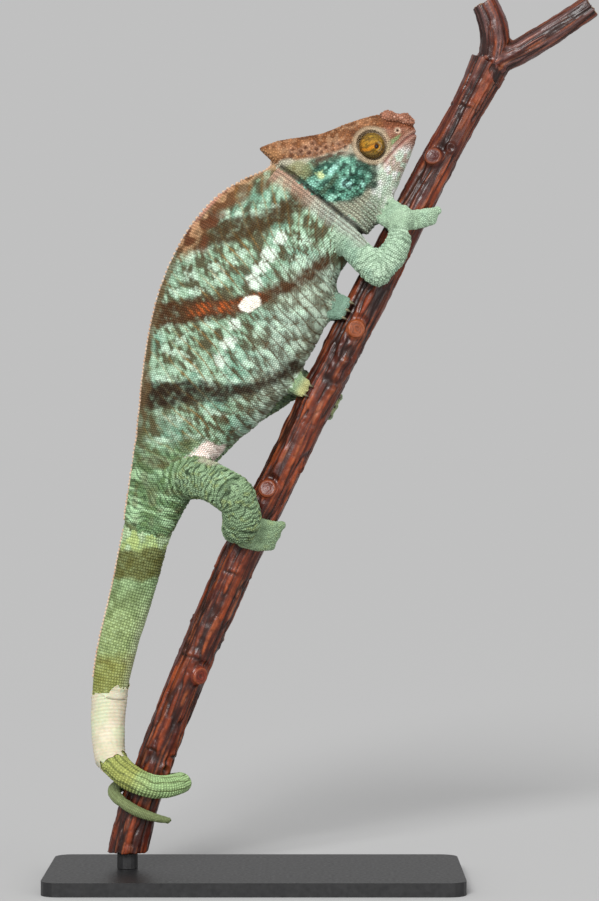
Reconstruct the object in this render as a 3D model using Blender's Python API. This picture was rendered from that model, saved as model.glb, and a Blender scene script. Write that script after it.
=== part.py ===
"""A Parson's chameleon at life size, climbing a steep branch that stands on a plain display base.

The frame: +Z up, +X the way the animal looks, -Y its right side. The origin is the centre of
the base's underside. Lengths are in millimetres here, and every mesh is scaled to metres.
"""

import math

import bmesh
import bpy
import numpy as np
from mathutils import Matrix

MM = 0.001
GAP = 0.3  # clearance between pieces that touch

# Driving dimensions
BASE_LENGTH, BASE_DEPTH, BASE_THICKNESS, BASE_CORNER = 240.0, 118.0, 8.0, 10.0
ROD_RADIUS = 6.0
BRANCH_FOOT = 17.0  # height of the branch's sawn lower end
BRANCH_LUMPS = 0.03  # how far from round the branch is, as a share of its radius
TWIG_SCAR_RADIUS, TWIG_SCAR_LENGTH = 5.6, 13.4
EYE_RADIUS = 8.0
EYE_CENTRE = (67.2, 16.2, 425.4)  # on the left side; the right one mirrors it
DIGIT_RADIUS = 3.6
PALM_RADIUS = 8.4
KEEL = 0.22  # how much narrower the body is above its middle than below

TRUNK_SIDES, TAIL_SIDES, LIMB_SIDES, PROCESS_SIDES, BRANCH_SIDES = 16, 10, 9, 6, 12

# The branch's middle line and radius, from its foot to the fork: x, z, radius
BRANCH_STATIONS = (
    (-74, BRANCH_FOOT, 12.4),
    (-66.4, 47, 11.7),
    (-43.5, 108, 10.9),
    (-9.6, 187, 11.4),
    (18.8, 245, 11.0),
    (36, 281, 11.4),
    (65.5, 338, 11.6),
    (94.4, 395.5, 11.0),
    (122.5, 447.5, 10.0),
    (136.5, 475, 12.2),
)
LEFT_FORK_STATIONS = ((136.5, 470, 8.5), (139.5, 487, 9.6), (137.5, 499, 8.9), (133, 510, 8.2))
RIGHT_FORK_STATIONS = ((140, 474, 6.5), (158, 484.5, 8.0), (180, 498, 7.5), (195, 508.5, 7.2))
# Where a twig was cut off: height on the branch, and angle from its right side towards its front
TWIG_SCARS = ((417, 113), (320.3, 80), (226, 106), (121.5, 52))

# Body sections from the nape to the vent: back x, z; belly x, z; half the width
BODY_STATIONS = (
    (26, 409, 64, 377, 13),
    (17, 416.5, 62, 369.5, 15),
    (2, 412.5, 56, 361, 17.5),
    (-18.5, 402.5, 49, 351, 20.5),
    (-35, 386, 46, 340, 23),
    (-47.5, 366, 44, 329, 25),
    (-56.5, 343.5, 39, 316, 26),
    (-62, 321.5, 30.5, 301.5, 26),
    (-65.5, 300.5, 18.5, 284, 25),
    (-67.5, 281.5, 4, 266, 23),
    (-69, 264, -12.5, 254, 20.5),
    (-71, 249, -23.5, 243.5, 18.5),
    (-73.5, 233.5, -32, 231.5, 16.5),
    (-77.2, 206.3, -48.4, 199.6, 13.5),
)
RINGS_PER_BODY_SPAN = 2
# Names of the body's lengths, and the station where each one starts
BODY_PARTS = (("neck", 0), ("chest", 2), ("belly", 6), ("pelvis", 10))

# The tail's middle line before it coils: x, z, radius
TAIL_STATIONS = (
    (-62.8, 203, 14.2),
    (-71, 168, 12.9),
    (-79.5, 137.5, 12.0),
    (-84.3, 111.5, 10.7),
    (-85.4, 91.5, 10.0),
)
# The coil round the branch: angle from the branch's right side towards its front,
# distance from the branch's middle line, distance along it, radius of the tail
COIL_CENTRE = (-62.0, 59.0)
COIL_STATIONS = (
    (168, 25.5, 5.5, 9.5),
    (90, 20.6, -0.4, 8.3),
    (0, 18.8, 5.6, 6.8),
    (-90, 17.4, -3.2, 5.4),
    (-180, 16.6, -11.8, 4.5),
    (-270, 16.0, -16.8, 4.0),
    (-336, 22.0, -16.6, 2.6),
)
TAIL_RINGS_PER_SPAN, COIL_RINGS_PER_SPAN = 3, 5
TAIL_PARTS = (("tail_base", 0), ("tail_middle", 6), ("tail_bend", 12), ("tail_front_loop", 16),
              ("tail_back_loop", 24), ("tail_inner_loop", 32), ("tail_tip", 38))

# Head sections from the casque's point and the throat lobe to the snout: top x, z; bottom x, z;
# half widths of the crest on top, the cheek and the throat
HEAD_STATIONS = (
    (0.5, 426, 65.5, 374, 2.2, 17.0, 7.5),
    (11.5, 429.5, 68.5, 378, 6.0, 19.5, 8.5),
    (25, 431.5, 71.5, 383.5, 9.0, 21.5, 9.5),
    (39, 433.5, 75, 389, 11.5, 22.0, 10.0),
    (50.5, 438, 79, 395.5, 13.5, 20.5, 10.0),
    (61, 441.5, 82.5, 402, 14.5, 17.8, 9.5),
    (70, 444, 85.5, 409, 13.0, 15.2, 9.0),
    (77.5, 444.5, 88.7, 417, 10.5, 13.0, 8.2),
    (83.5, 443, 91.3, 423.5, 8.5, 10.8, 7.2),
    (88.7, 441.5, 93.3, 429.5, 6.2, 8.2, 5.6),
    (92, 438.5, 94.3, 433, 3.0, 4.0, 3.0),
)
RINGS_PER_HEAD_SPAN = 2
# Half of a head section from its top to its bottom: height, and the shares of the crest's,
# cheek's and throat's half widths that make the half width there
HEAD_PROFILE = (
    (0.014, 0.0, 0.0, 0.0),
    (0.0, 1.0, 0.0, 0.0),
    (0.12, 0.62, 0.40, 0.0),
    (0.30, 0.15, 0.84, 0.0),
    (0.50, 0.0, 1.0, 0.0),
    (0.70, 0.0, 0.78, 0.24),
    (0.87, 0.0, 0.20, 0.82),
    (0.965, 0.0, 0.0, 0.66),
    (1.0, 0.0, 0.0, 0.0),
)
# Seen from the side: the mouth's line to its corner and on to the throat, and the casque's joint
MOUTH_LINE = ((104.0, 441.0), (92.5, 434.0), (80.5, 423.0), (71.5, 411.0), (66.0, 396.0), (62.0, 362.0))
CASQUE_LINE = ((41.0, 446.0), (37.5, 424.0), (13.0, 404.0))
# The warty process on each side of the snout: x, y, z, radius
ROSTRAL_STATIONS = (
    (69.0, 11.6, 441.2, 1.8),
    (76.6, 10.4, 442.8, 3.9),
    (82.4, 8.8, 441.2, 3.0),
    (87.0, 7.4, 441.6, 3.8),
    (91.4, 6.0, 439.6, 2.0),
)

# Limbs from the body to the palm: x, y, z, radius. Y is the distance out from the middle plane.
SHOULDER, HIP = (50, 8, 378, 9.5), (-46, 6, 235, 13)
RIGHT_ARM = (SHOULDER, (59, 21.5, 364, 8.7), (70.5, 27.5, 352, 9.3), (79, 25, 362, 8.8), (84.5, 19, 375, 7.4))
LEFT_ARM = (SHOULDER, (44, 25, 366, 8.7), (39.5, 34, 352, 9.2), (41, 24, 341, 8.4), (46.5, 10, 333, 7.6))
RIGHT_LEG = (HIP, (-27, 24, 233.5, 12.2), (-10, 35, 224.5, 12.2), (-6.5, 28, 212.5, 12), (-9.5, 17, 203, 10.4))
LEFT_LEG = (HIP, (-32, 24, 249, 11.5), (-15, 31, 266, 10.7), (4, 23, 278, 9.4), (21, 11, 288, 8.2))
ELBOW, RINGS_PER_LIMB_SPAN = 2, 2  # the station at which a limb is divided, and its fineness
LOWER_LIMB_START = 0.8  # the lower length is this much slimmer than the elbow it comes out of

# Where a hand or foot holds the branch: height of the grip, angle of the palm round the branch,
# and its two bundles: name, digits, angle of the tips, rise to the tips, start, digit spacing
GRIPS = {
    "right_hand": (381, 104, (("inner", 3, 198, 3, 0, 5.2), ("outer", 2, 20, 12, 0, 6.6))),
    "left_hand": (327.5, 203, (("inner", 3, 128, 1, -1, 4.9), ("outer", 2, 286, 4, 0, 6.2))),
    "right_foot": (201.5, 122, (("outer", 3, 8, 6, 0, 6.8), ("inner", 2, 236, 5, 0, 6.2))),
    "left_foot": (284.5, 222, (("inner", 2, 124, -2, -1, 6.2), ("outer", 3, 326, -3, -1, 6.2))),
}
# Size of the digits at steps from the palm to the tips, and how far the tips stand out, in degrees
BUNDLE_PROFILE = (0.8, 1.0, 1.0, 0.95, 0.85, 0.5)
TIP_SCALLOP = 16.0
CLAW_ASIDE = 0.17  # how far a claw stands beside its digit's middle
# A claw's degrees past the tip, height over the branch and radius
CLAW_PROFILE = ((-9.0, 2.2, 1.4), (9.0, 2.4, 1.15), (22.0, 0.9, 0.4))

COLOURS = {
    "body_skin": ((0.30, 0.45, 0.38), 0.62, 0.0),
    "limb_skin": ((0.27, 0.47, 0.38), 0.62, 0.0),
    "tail_skin": ((0.36, 0.47, 0.24), 0.62, 0.0),
    "head_skin": ((0.22, 0.38, 0.34), 0.6, 0.0),
    "casque_skin": ((0.38, 0.25, 0.18), 0.65, 0.0),
    "jaw_skin": ((0.62, 0.66, 0.58), 0.6, 0.0),
    "eye_skin": ((0.52, 0.40, 0.08), 0.5, 0.0),
    "bark": ((0.30, 0.10, 0.05), 0.4, 0.0),
    "stand_metal": ((0.02, 0.02, 0.022), 0.4, 1.0),
}


# Small helpers


def unit(vector):
    return vector / np.linalg.norm(vector)


def spline(rows, per_span):
    """A smooth curve through rows of numbers, with per_span steps between neighbours."""
    rows = np.array(rows, float)
    padded = np.vstack([2 * rows[0] - rows[1], rows, 2 * rows[-1] - rows[-2]])
    found = []
    for before, start, end, after in zip(padded, padded[1:], padded[2:], padded[3:]):
        for step in range(per_span):
            t = step / per_span
            found.append(
                0.5
                * (
                    2 * start
                    + (end - before) * t
                    + (2 * before - 5 * start + 4 * end - after) * t**2
                    + (3 * start - before - 3 * end + after) * t**3
                )
            )
    return np.array(found + [rows[-1]])


def value_at(stations, column, where, value):
    """The value column of stations at the place where the other column equals where."""
    curve = spline(stations, 8)
    return float(np.interp(where, curve[:, column], curve[:, value]))


def tangents(points):
    return np.array([unit(v) for v in np.gradient(np.array(points, float), axis=0)])


def collection(name):
    made = bpy.data.collections.new(name)
    bpy.context.scene.collection.children.link(made)
    return made


def clear_scene():
    for thing in list(bpy.data.objects):
        bpy.data.objects.remove(thing)


def make_material(slot):
    colour, roughness, metallic = COLOURS[slot]
    material = bpy.data.materials.new(slot)
    material.use_nodes = True
    shader = material.node_tree.nodes["Principled BSDF"]
    shader.inputs["Base Color"].default_value = (*colour, 1)
    shader.inputs["Roughness"].default_value = roughness
    shader.inputs["Metallic"].default_value = metallic
    return material


def mesh_object(name, mesh, slot):
    """A part in the model's collection, or a cutter where there is no material slot."""
    made = bpy.data.objects.new(name, mesh)
    if slot:
        PARTS.objects.link(made)
        mesh.materials.append(MATERIALS[slot])
        mesh.shade_smooth()
        mesh.set_sharp_from_angle(angle=math.radians(50))
    else:
        CUTTERS.objects.link(made)
        made.hide_render = True
        made.display_type = "WIRE"
    return made


def loft(name, rings, slot=None, bulge=None):
    """A closed skin over rings of points, flat at both ends or, with a bulge, ending in a low cone."""
    rings = np.array(rings)
    count, sides = rings.shape[:2]
    corners = rings.reshape(-1, 3)
    faces = []
    for ring in range(count - 1):
        for side in range(sides):
            here, there = ring * sides, (ring + 1) * sides
            after = (side + 1) % sides
            faces.append((here + side, here + after, there + after, there + side))
    first, last = tuple(reversed(range(sides))), tuple(range((count - 1) * sides, count * sides))
    for end, rim in ((0, first), (-1, last)):
        if bulge is None:
            faces.append(rim)
            continue
        ahead = unit(rings[end].mean(axis=0) - rings[1 if end == 0 else -2].mean(axis=0))
        faces += [(here, after, len(corners)) for here, after in zip(rim, rim[1:] + rim[:1])]
        corners = np.vstack([corners, rings[end].mean(axis=0) + ahead * bulge])
    mesh = bpy.data.meshes.new(name)
    mesh.from_pydata((corners * MM).tolist(), [], faces)
    return mesh_object(name, outward(mesh), slot)


def outward(mesh):
    """Turns the faces of a closed mesh so that they point out."""
    shape = bmesh.new()
    shape.from_mesh(mesh)
    bmesh.ops.recalc_face_normals(shape, faces=shape.faces)
    if shape.calc_volume(signed=True) < 0:
        bmesh.ops.reverse_faces(shape, faces=shape.faces)
    shape.to_mesh(mesh)
    shape.free()
    return mesh


def combine(target, other, operation="DIFFERENCE"):
    modifier = target.modifiers.new(operation.lower(), "BOOLEAN")
    modifier.operation = operation
    modifier.solver = "EXACT"
    modifier.object = other


def ring(centre, up, side, sides, keel=0.0):
    """Points round a centre. up and side are its half height and half width, as vectors."""
    found = []
    for corner in range(sides):
        angle = 2 * math.pi * corner / sides
        across = math.sin(angle) * (1 - keel * math.cos(angle))
        found.append(centre + up * math.cos(angle) + side * across)
    return found


def grown(rings, extra):
    """The rings with each point moved out from its ring's middle, for a cutter with clearance."""
    found = []
    for points in np.array(rings):
        middle = points.mean(axis=0)
        arms = points - middle
        lengths = np.linalg.norm(arms, axis=1, keepdims=True)
        found.append(middle + arms * (lengths + extra) / lengths)
    return np.array(found)


def shortened(rings, at_start, at_end):
    """The rings with the first or last one moved in by half the gap, where a neighbour follows."""
    rings = np.array(rings)
    found = rings.copy()
    for end, inner, wanted in ((0, 1, at_start), (-1, -2, at_end)):
        if wanted:
            step = np.linalg.norm(rings[inner].mean(axis=0) - rings[end].mean(axis=0))
            found[end] += (rings[inner] - rings[end]) * (GAP / 2 / step)
    return found


def divided(rings, parts, slots):
    """One loft for each named length of a long body."""
    made = {}
    for index, (name, first) in enumerate(parts):
        is_last = index == len(parts) - 1
        last = len(rings) - 1 if is_last else parts[index + 1][1]
        lengths = shortened(rings[first : last + 1], index > 0, not is_last)
        made[name] = loft(name, lengths, slots[index])
    return made


def tube_rings(stations, sides, per_span):
    """Rings along a path of x, y, z and radius, with no twist."""
    path = spline(stations, per_span)
    across = np.array([0.0, 1.0, 0.0])
    found = []
    for (x, y, z, radius), along in zip(path, tangents(path[:, :3])):
        across = unit(across - along * across.dot(along))
        found.append(ring(np.array([x, y, z]), np.cross(across, along) * radius, across * radius, sides))
    return np.array(found)


# The branch


def branch_frame(height):
    """The branch's middle at a height, the way it grows, its right side and its front."""
    curve = spline(BRANCH_STATIONS, 8)
    x = float(np.interp(height, curve[:, 1], curve[:, 0]))
    ahead = float(np.interp(height + 4, curve[:, 1], curve[:, 0]))
    behind = float(np.interp(height - 4, curve[:, 1], curve[:, 0]))
    along = unit(np.array([ahead - behind, 0.0, 8.0]))
    right = np.array([along[2], 0.0, -along[0]])
    return np.array([x, 0.0, height]), along, right, np.array([0.0, -1.0, 0.0])


def branch_radius(height):
    return value_at(BRANCH_STATIONS, 1, height, 2)


def round_branch(height, angle, distance, along_it):
    """A point beside the branch, by its angle from the right side towards the front."""
    middle, along, right, front = branch_frame(height)
    turn = math.radians(angle)
    out = right * math.cos(turn) + front * math.sin(turn)
    return middle + along * along_it + out * distance


def stick_rings(stations, per_span, lumps):
    """Rings along a stick that isn't quite round. The first and last lie level or square."""
    path = spline(stations, per_span)
    places = np.column_stack([path[:, 0], np.zeros(len(path)), path[:, 1]])
    found = []
    for number, (place, along, radius) in enumerate(zip(places, tangents(places), path[:, 2])):
        right = np.array([along[2], 0.0, -along[0]])
        if lumps and number == 0:
            right = np.array([1.0, 0.0, 0.0])
        points = []
        for side in range(BRANCH_SIDES):
            angle = 2 * math.pi * side / BRANCH_SIDES
            bump = 1 + lumps * math.sin(3 * angle + number * 0.7) * math.cos(number * 1.3)
            out = right * math.cos(angle) + np.array([0, -1, 0]) * math.sin(angle)
            points.append(place + out * radius * bump)
        found.append(points)
    return np.array(found)


def make_branch():
    rings = stick_rings(BRANCH_STATIONS, 2, BRANCH_LUMPS)
    branch = loft("perch_branch", rings, "bark")
    for number, (height, angle) in enumerate(TWIG_SCARS):
        start = round_branch(height, angle, 2.5, 0.0)
        end = round_branch(height, angle, TWIG_SCAR_LENGTH, 1.5)
        path = ((*start, TWIG_SCAR_RADIUS * 1.2), (*end, TWIG_SCAR_RADIUS))
        combine(branch, loft(f"twig_scar_{number + 1}", tube_rings(path, 10, 1)), "UNION")
    room = loft("branch_room", grown(rings, GAP))
    left_rings, right_rings = stick_rings(LEFT_FORK_STATIONS, 2, 0.0), stick_rings(RIGHT_FORK_STATIONS, 2, 0.0)
    combine(loft("perch_fork_left", left_rings, "bark"), room)
    right_fork = loft("perch_fork_right", right_rings, "bark")
    combine(right_fork, room)
    combine(right_fork, loft("fork_room", grown(left_rings, GAP)))
    return room


def make_stand():
    """A flat base with rounded corners, and one short rod up to the branch's sawn end."""
    bpy.ops.mesh.primitive_cube_add(size=1)
    base = bpy.context.object
    base.name = "stand_base"
    base.data.transform(Matrix.Diagonal((BASE_LENGTH * MM, BASE_DEPTH * MM, BASE_THICKNESS * MM, 1.0)))
    base.location.z = BASE_THICKNESS / 2 * MM
    shape = bmesh.new()
    shape.from_mesh(base.data)
    upright = [e for e in shape.edges if abs(e.verts[0].co.z - e.verts[1].co.z) > BASE_THICKNESS * MM / 2]
    bmesh.ops.bevel(shape, geom=upright, offset=BASE_CORNER * MM, segments=5, affect="EDGES", profile=0.5)
    shape.to_mesh(base.data)
    shape.free()
    adopt(base, "stand_metal")
    top = BRANCH_FOOT - GAP
    bpy.ops.mesh.primitive_cylinder_add(
        vertices=16,
        radius=ROD_RADIUS * MM,
        depth=(top - BASE_THICKNESS - GAP) * MM,
        location=(BRANCH_STATIONS[0][0] * MM, 0, (top + BASE_THICKNESS + GAP) / 2 * MM),
    )
    rod = bpy.context.object
    rod.name = "stand_rod"
    adopt(rod, "stand_metal")


def adopt(made, slot):
    """Moves a primitive into the model's collection and gives it its material."""
    for holder in list(made.users_collection):
        holder.objects.unlink(made)
    PARTS.objects.link(made)
    made.data.materials.append(MATERIALS[slot])
    made.data.shade_smooth()
    made.data.set_sharp_from_angle(angle=math.radians(40))


# The body and the tail


def body_rings():
    found = []
    for back_x, back_z, belly_x, belly_z, half_width in spline(BODY_STATIONS, RINGS_PER_BODY_SPAN):
        back, belly = np.array([back_x, 0.0, back_z]), np.array([belly_x, 0.0, belly_z])
        side = np.array([0.0, half_width, 0.0])
        found.append(ring((back + belly) / 2, (back - belly) / 2, side, TRUNK_SIDES, KEEL))
    return np.array(found)


def tail_path():
    """Middle points and radii of the whole tail: its hanging length and then its coil."""
    hanging = spline(TAIL_STATIONS, TAIL_RINGS_PER_SPAN)
    hanging = np.column_stack([hanging[:, 0], np.zeros(len(hanging)), hanging[:, 1:]])
    coil = []
    for angle, distance, along_it, radius in spline(COIL_STATIONS, COIL_RINGS_PER_SPAN):
        coil.append((*round_branch(COIL_CENTRE[1], angle, distance, along_it), radius))
    bend = spline((hanging[-2], hanging[-1], coil[0], coil[1]), 3)[4:6]
    return np.vstack([hanging, bend, coil])


def tail_rings():
    path = tail_path()
    found = []
    for (x, y, z, radius), along in zip(path, tangents(path[:, :3])):
        place = np.array([x, y, z])
        middle, grain, _, _ = branch_frame(COIL_CENTRE[1] if z < 85 else z)
        out = place - middle
        out -= grain * out.dot(grain)
        up = unit(out - along * out.dot(along))
        side = np.cross(along, up)
        found.append(ring(place, up * radius, side * radius * 0.9, TAIL_SIDES, 0.08))
    tip = found[-1]
    middle = np.mean(tip, axis=0)
    rounded = [middle + (np.array(p) - middle) * 0.55 + tangents(path[:, :3])[-1] * 1.6 for p in tip]
    return np.array(found + [rounded])


def make_body(head_room):
    rings = body_rings()
    parts = [(name, start * RINGS_PER_BODY_SPAN) for name, start in BODY_PARTS]
    made = divided(shortened(rings, False, True), parts, ["body_skin"] * len(parts))
    combine(made["neck"], head_room)
    combine(made["chest"], head_room)
    return loft("body_room", grown(rings, GAP))


def make_tail(branch_room):
    rings = shortened(tail_rings(), True, False)
    made = divided(rings, TAIL_PARTS, ["tail_skin"] * len(TAIL_PARTS))
    for name in list(made)[2:]:
        combine(made[name], branch_room)


# The head


def head_rings():
    found = []
    for top_x, top_z, low_x, low_z, crest, cheek, throat in spline(HEAD_STATIONS, RINGS_PER_HEAD_SPAN):
        top, low = np.array([top_x, 0.0, top_z]), np.array([low_x, 0.0, low_z])
        half = []
        for height, of_crest, of_cheek, of_throat in HEAD_PROFILE:
            width = of_crest * crest + of_cheek * cheek + of_throat * throat
            half.append((top + (low - top) * height, width))
        left = [place + np.array([0.0, width, 0.0]) for place, width in half]
        right = [place - np.array([0.0, width, 0.0]) for place, width in half[-2:0:-1]]
        found.append(left + right)
    return np.array(found)


def side_cutter(name, outline, shift=(0.0, 0.0)):
    """A wide block with this outline seen from the side, to part the head with."""
    flat = bpy.data.curves.new(name, "CURVE")
    flat.dimensions = "2D"
    flat.fill_mode = "BOTH"
    flat.extrude = 40 * MM
    edge = flat.splines.new("POLY")
    edge.points.add(len(outline) - 1)
    for point, (x, z) in zip(edge.points, outline):
        point.co = ((x + shift[0]) * MM, (z + shift[1]) * MM, 0, 1)
    edge.use_cyclic_u = True
    curve = bpy.data.objects.new(name + "_curve", flat)
    CUTTERS.objects.link(curve)
    curve.rotation_euler.x = math.radians(90)
    bpy.context.view_layer.update()
    mesh = bpy.data.meshes.new_from_object(curve.evaluated_get(bpy.context.evaluated_depsgraph_get()))
    shape = bmesh.new()
    shape.from_mesh(mesh)
    bmesh.ops.remove_doubles(shape, verts=shape.verts, dist=0.001 * MM)
    shape.to_mesh(mesh)
    shape.free()
    mesh.transform(curve.matrix_world)
    bpy.data.objects.remove(curve)
    return mesh_object(name, outward(mesh), None)


def eye_solid(name, side, radius, slot=None):
    """A turret: a ball flattened towards its pupil, which looks out and forward."""
    bpy.ops.mesh.primitive_uv_sphere_add(segments=12, ring_count=8, radius=radius * MM)
    made = bpy.context.object
    made.name = name
    x, y, z = EYE_CENTRE
    made.location = (x * MM, side * y * MM, z * MM)
    made.rotation_euler = (side * math.radians(-90), 0, side * math.radians(-18))
    bpy.context.view_layer.update()
    mesh = made.data
    mesh.transform(made.matrix_world)
    bpy.data.objects.remove(made)
    return mesh_object(name, mesh, slot)


def make_head():
    rings = head_rings()
    beyond_jaw = ((130.0, 441.0), (130.0, 362.0))
    beyond_casque = ((-30.0, 404.0), (-30.0, 446.0))
    jaw_outline = MOUTH_LINE + tuple(reversed(beyond_jaw))
    casque_outline = CASQUE_LINE + beyond_casque
    head = loft("head", rings, "head_skin")
    jaw = loft("lower_jaw", rings, "jaw_skin")
    casque = loft("casque", rings, "casque_skin")
    combine(head, side_cutter("jaw_space", jaw_outline, (-GAP, GAP / 2)))
    combine(jaw, side_cutter("jaw_block", jaw_outline), "INTERSECT")
    combine(head, side_cutter("casque_space", casque_outline, (GAP, 0.0)))
    combine(casque, side_cutter("casque_block", casque_outline), "INTERSECT")
    for side, hand in ((1, "left"), (-1, "right")):
        eye_solid("eye_" + hand, side, EYE_RADIUS, "eye_skin")
        combine(head, eye_solid(f"eye_{hand}_socket", side, EYE_RADIUS + GAP))
    room = loft("head_room", grown(rings, GAP))
    for side, hand in ((1, "left"), (-1, "right")):
        stations = [(x, side * y, z, radius) for x, y, z, radius in ROSTRAL_STATIONS]
        process = loft("rostral_process_" + hand, tube_rings(stations, PROCESS_SIDES, 1), "casque_skin")
        combine(process, room)
    return room


# Limbs


def rounded_end(rings, radius):
    """The rings and two smaller ones, so that a tube ends in half a ball."""
    middle = rings[-1].mean(axis=0)
    ahead = unit(middle - rings[-2].mean(axis=0))
    found = list(rings)
    for degrees in (38, 70):
        turn = math.radians(degrees)
        found.append(middle + (rings[-1] - middle) * math.cos(turn) + ahead * radius * math.sin(turn))
    return np.array(found)


def make_limb(name, upper, lower, stations, side, cutters):
    """A limb's upper length with its round elbow or knee, and the lower length, cut to fit it."""
    placed = [(x, side * y, z, radius) for x, y, z, radius in stations]
    thick = placed[ELBOW][3]
    upper_rings = rounded_end(tube_rings(placed[: ELBOW + 1], LIMB_SIDES, RINGS_PER_LIMB_SPAN), thick)
    slimmer = [(*placed[ELBOW][:3], thick * LOWER_LIMB_START), *placed[ELBOW + 1 :]]
    lower_rings = tube_rings(slimmer, LIMB_SIDES, RINGS_PER_LIMB_SPAN)
    upper_limb = loft(f"{name}_{upper}", upper_rings, "limb_skin")
    lower_limb = loft(f"{name}_{lower}", lower_rings, "limb_skin")
    combine(lower_limb, loft(f"{name}_{upper}_room", grown(upper_rings, GAP)))
    for cutter in cutters:
        combine(upper_limb, cutter)
    combine(lower_limb, cutters[0])
    return lower_limb, loft(f"{name}_{lower}_room", grown(lower_rings, GAP))


def palm_solid(name, grip, radius, slot=None):
    height, angle, _ = GRIPS[grip]
    _, along, _, _ = branch_frame(height)
    start = GRIPS[grip][2][0][4]
    middle = round_branch(height, angle, branch_radius(height) + PALM_RADIUS * 0.7, start)
    out = unit(middle - round_branch(height, angle, 0, start))
    across = np.cross(out, along)
    rings = []
    for step in range(-2, 3):
        lift = math.sin(math.radians(step * 39)) * radius
        reach = math.cos(math.radians(step * 39)) * radius
        rings.append(ring(middle + out * lift * 0.9, along * reach * 1.1, across * reach, LIMB_SIDES))
    return loft(name, rings, slot)


def bundle_section(count, spacing, shrink):
    """The outline of a bundle of digits: place across it, height, and nearness to a digit's middle."""
    radius = DIGIT_RADIUS * shrink
    middles = [(number - (count - 1) / 2) * spacing for number in range(count)]
    top = [(middles[0] - radius, radius * 0.7, 0.5)]
    for number, middle in enumerate(middles):
        top.append((middle - radius * 0.62, radius * 1.3, 0.85))
        top.append((middle, radius * 1.55, 1.0))
        top.append((middle + radius * 0.62, radius * 1.3, 0.85))
        if number < count - 1:
            top.append((middle + spacing / 2, DIGIT_RADIUS * (1.15 * shrink - 0.1), 0.0))
    top.append((middles[-1] + radius, radius * 0.7, 0.5))
    bottom = [(middles[-1] + radius * 0.5, radius * 0.12, 0.5)]
    bottom += [(middle, 0.0, 0.7) for middle in reversed(middles)]
    bottom += [(middles[0] - radius * 0.5, radius * 0.12, 0.5)]
    return top + bottom


def bundle_rings(height, palm_angle, bundle):
    """A bundle of digits that curls round the branch from the palm, as one fleshy mitten."""
    _, count, tip_angle, rise, start, spacing = bundle
    surface = branch_radius(height) * (1 + BRANCH_LUMPS) + GAP / 2
    found = []
    for step, shrink in enumerate(BUNDLE_PROFILE):
        share = step / (len(BUNDLE_PROFILE) - 1)
        narrow = 0.62 if step == 0 else 1.0
        points = []
        for across, lift, ahead in bundle_section(count, spacing, shrink):
            further = (ahead - 0.6) * TIP_SCALLOP * share**3 * math.copysign(1, tip_angle - palm_angle)
            angle = palm_angle + (tip_angle - palm_angle) * share + further
            points.append(round_branch(height, angle, surface + lift, start + rise * share + across * narrow))
        found.append(points)
    return np.array(found)


def claw_rings(height, palm_angle, bundle, number):
    _, count, tip_angle, rise, start, spacing = bundle
    surface = branch_radius(height) * (1 + BRANCH_LUMPS) + GAP / 2
    turn = math.copysign(1, tip_angle - palm_angle)
    across = start + rise + (number - (count - 1) / 2) * spacing + CLAW_ASIDE
    path = []
    for degrees, lift, radius in CLAW_PROFILE:
        path.append((*round_branch(height, tip_angle + turn * degrees, surface + lift, across), radius))
    return tube_rings(path, 5, 1)


def make_grip(grip, lower_limb, lower_room, branch_room, near_body):
    """The palm on the branch, and the two bundles of digits that close round it."""
    height, palm_angle, bundles = GRIPS[grip]
    palm = palm_solid(grip, grip, PALM_RADIUS, "limb_skin")
    combine(palm, branch_room)
    palm_room = palm_solid(grip + "_room", grip, PALM_RADIUS + GAP)
    combine(lower_limb, palm_room)
    combine(lower_limb, branch_room)
    if near_body:
        combine(palm, near_body)
    for bundle in bundles:
        name = f"{grip}_{bundle[0]}_digits"
        whole = loft(name, bundle_rings(height, palm_angle, bundle), "limb_skin", 1.2)
        for number in range(bundle[1]):
            claw = claw_rings(height, palm_angle, bundle, number)
            combine(whole, loft(f"{name}_claw_{number + 1}", claw), "UNION")
        combine(whole, palm_room)
        combine(whole, lower_room)
        if near_body:
            combine(whole, near_body)


clear_scene()
PARTS = collection("parsons_chameleon")
CUTTERS = collection("cutters")
MATERIALS = {slot: make_material(slot) for slot in COLOURS}

make_stand()
BRANCH_ROOM = make_branch()
HEAD_ROOM = make_head()
BODY_ROOM = make_body(HEAD_ROOM)
make_tail(BRANCH_ROOM)
for hand, sign, arm, leg in (("right", -1, RIGHT_ARM, RIGHT_LEG), ("left", 1, LEFT_ARM, LEFT_LEG)):
    grip_neighbour = HEAD_ROOM if hand == "right" else BODY_ROOM
    forearm, forearm_room = make_limb(hand, "upper_arm", "forearm", arm, sign, (BODY_ROOM, HEAD_ROOM))
    make_grip(f"{hand}_hand", forearm, forearm_room, BRANCH_ROOM, grip_neighbour)
    shank, shank_room = make_limb(hand, "thigh", "shank", leg, sign, (BODY_ROOM,))
    make_grip(f"{hand}_foot", shank, shank_room, BRANCH_ROOM, grip_neighbour if hand == "left" else None)
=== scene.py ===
"""Looks of the Parson's chameleon on its branch: skin, scales, eyes, claws, bark and display stand.

+Z is up, +X the way the animal climbs and -Y its right side. Lengths are in millimetres, and every mesh
is scaled to metres when it is made. Markings are placed by x and z, so the animal's two sides are alike
but for their mottling.
"""

import math
from contextlib import contextmanager
from itertools import product

import bmesh
import bpy
import numpy as np
from mathutils import Matrix, Vector
from mathutils.bvhtree import BVHTree
from mathutils.kdtree import KDTree


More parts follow.
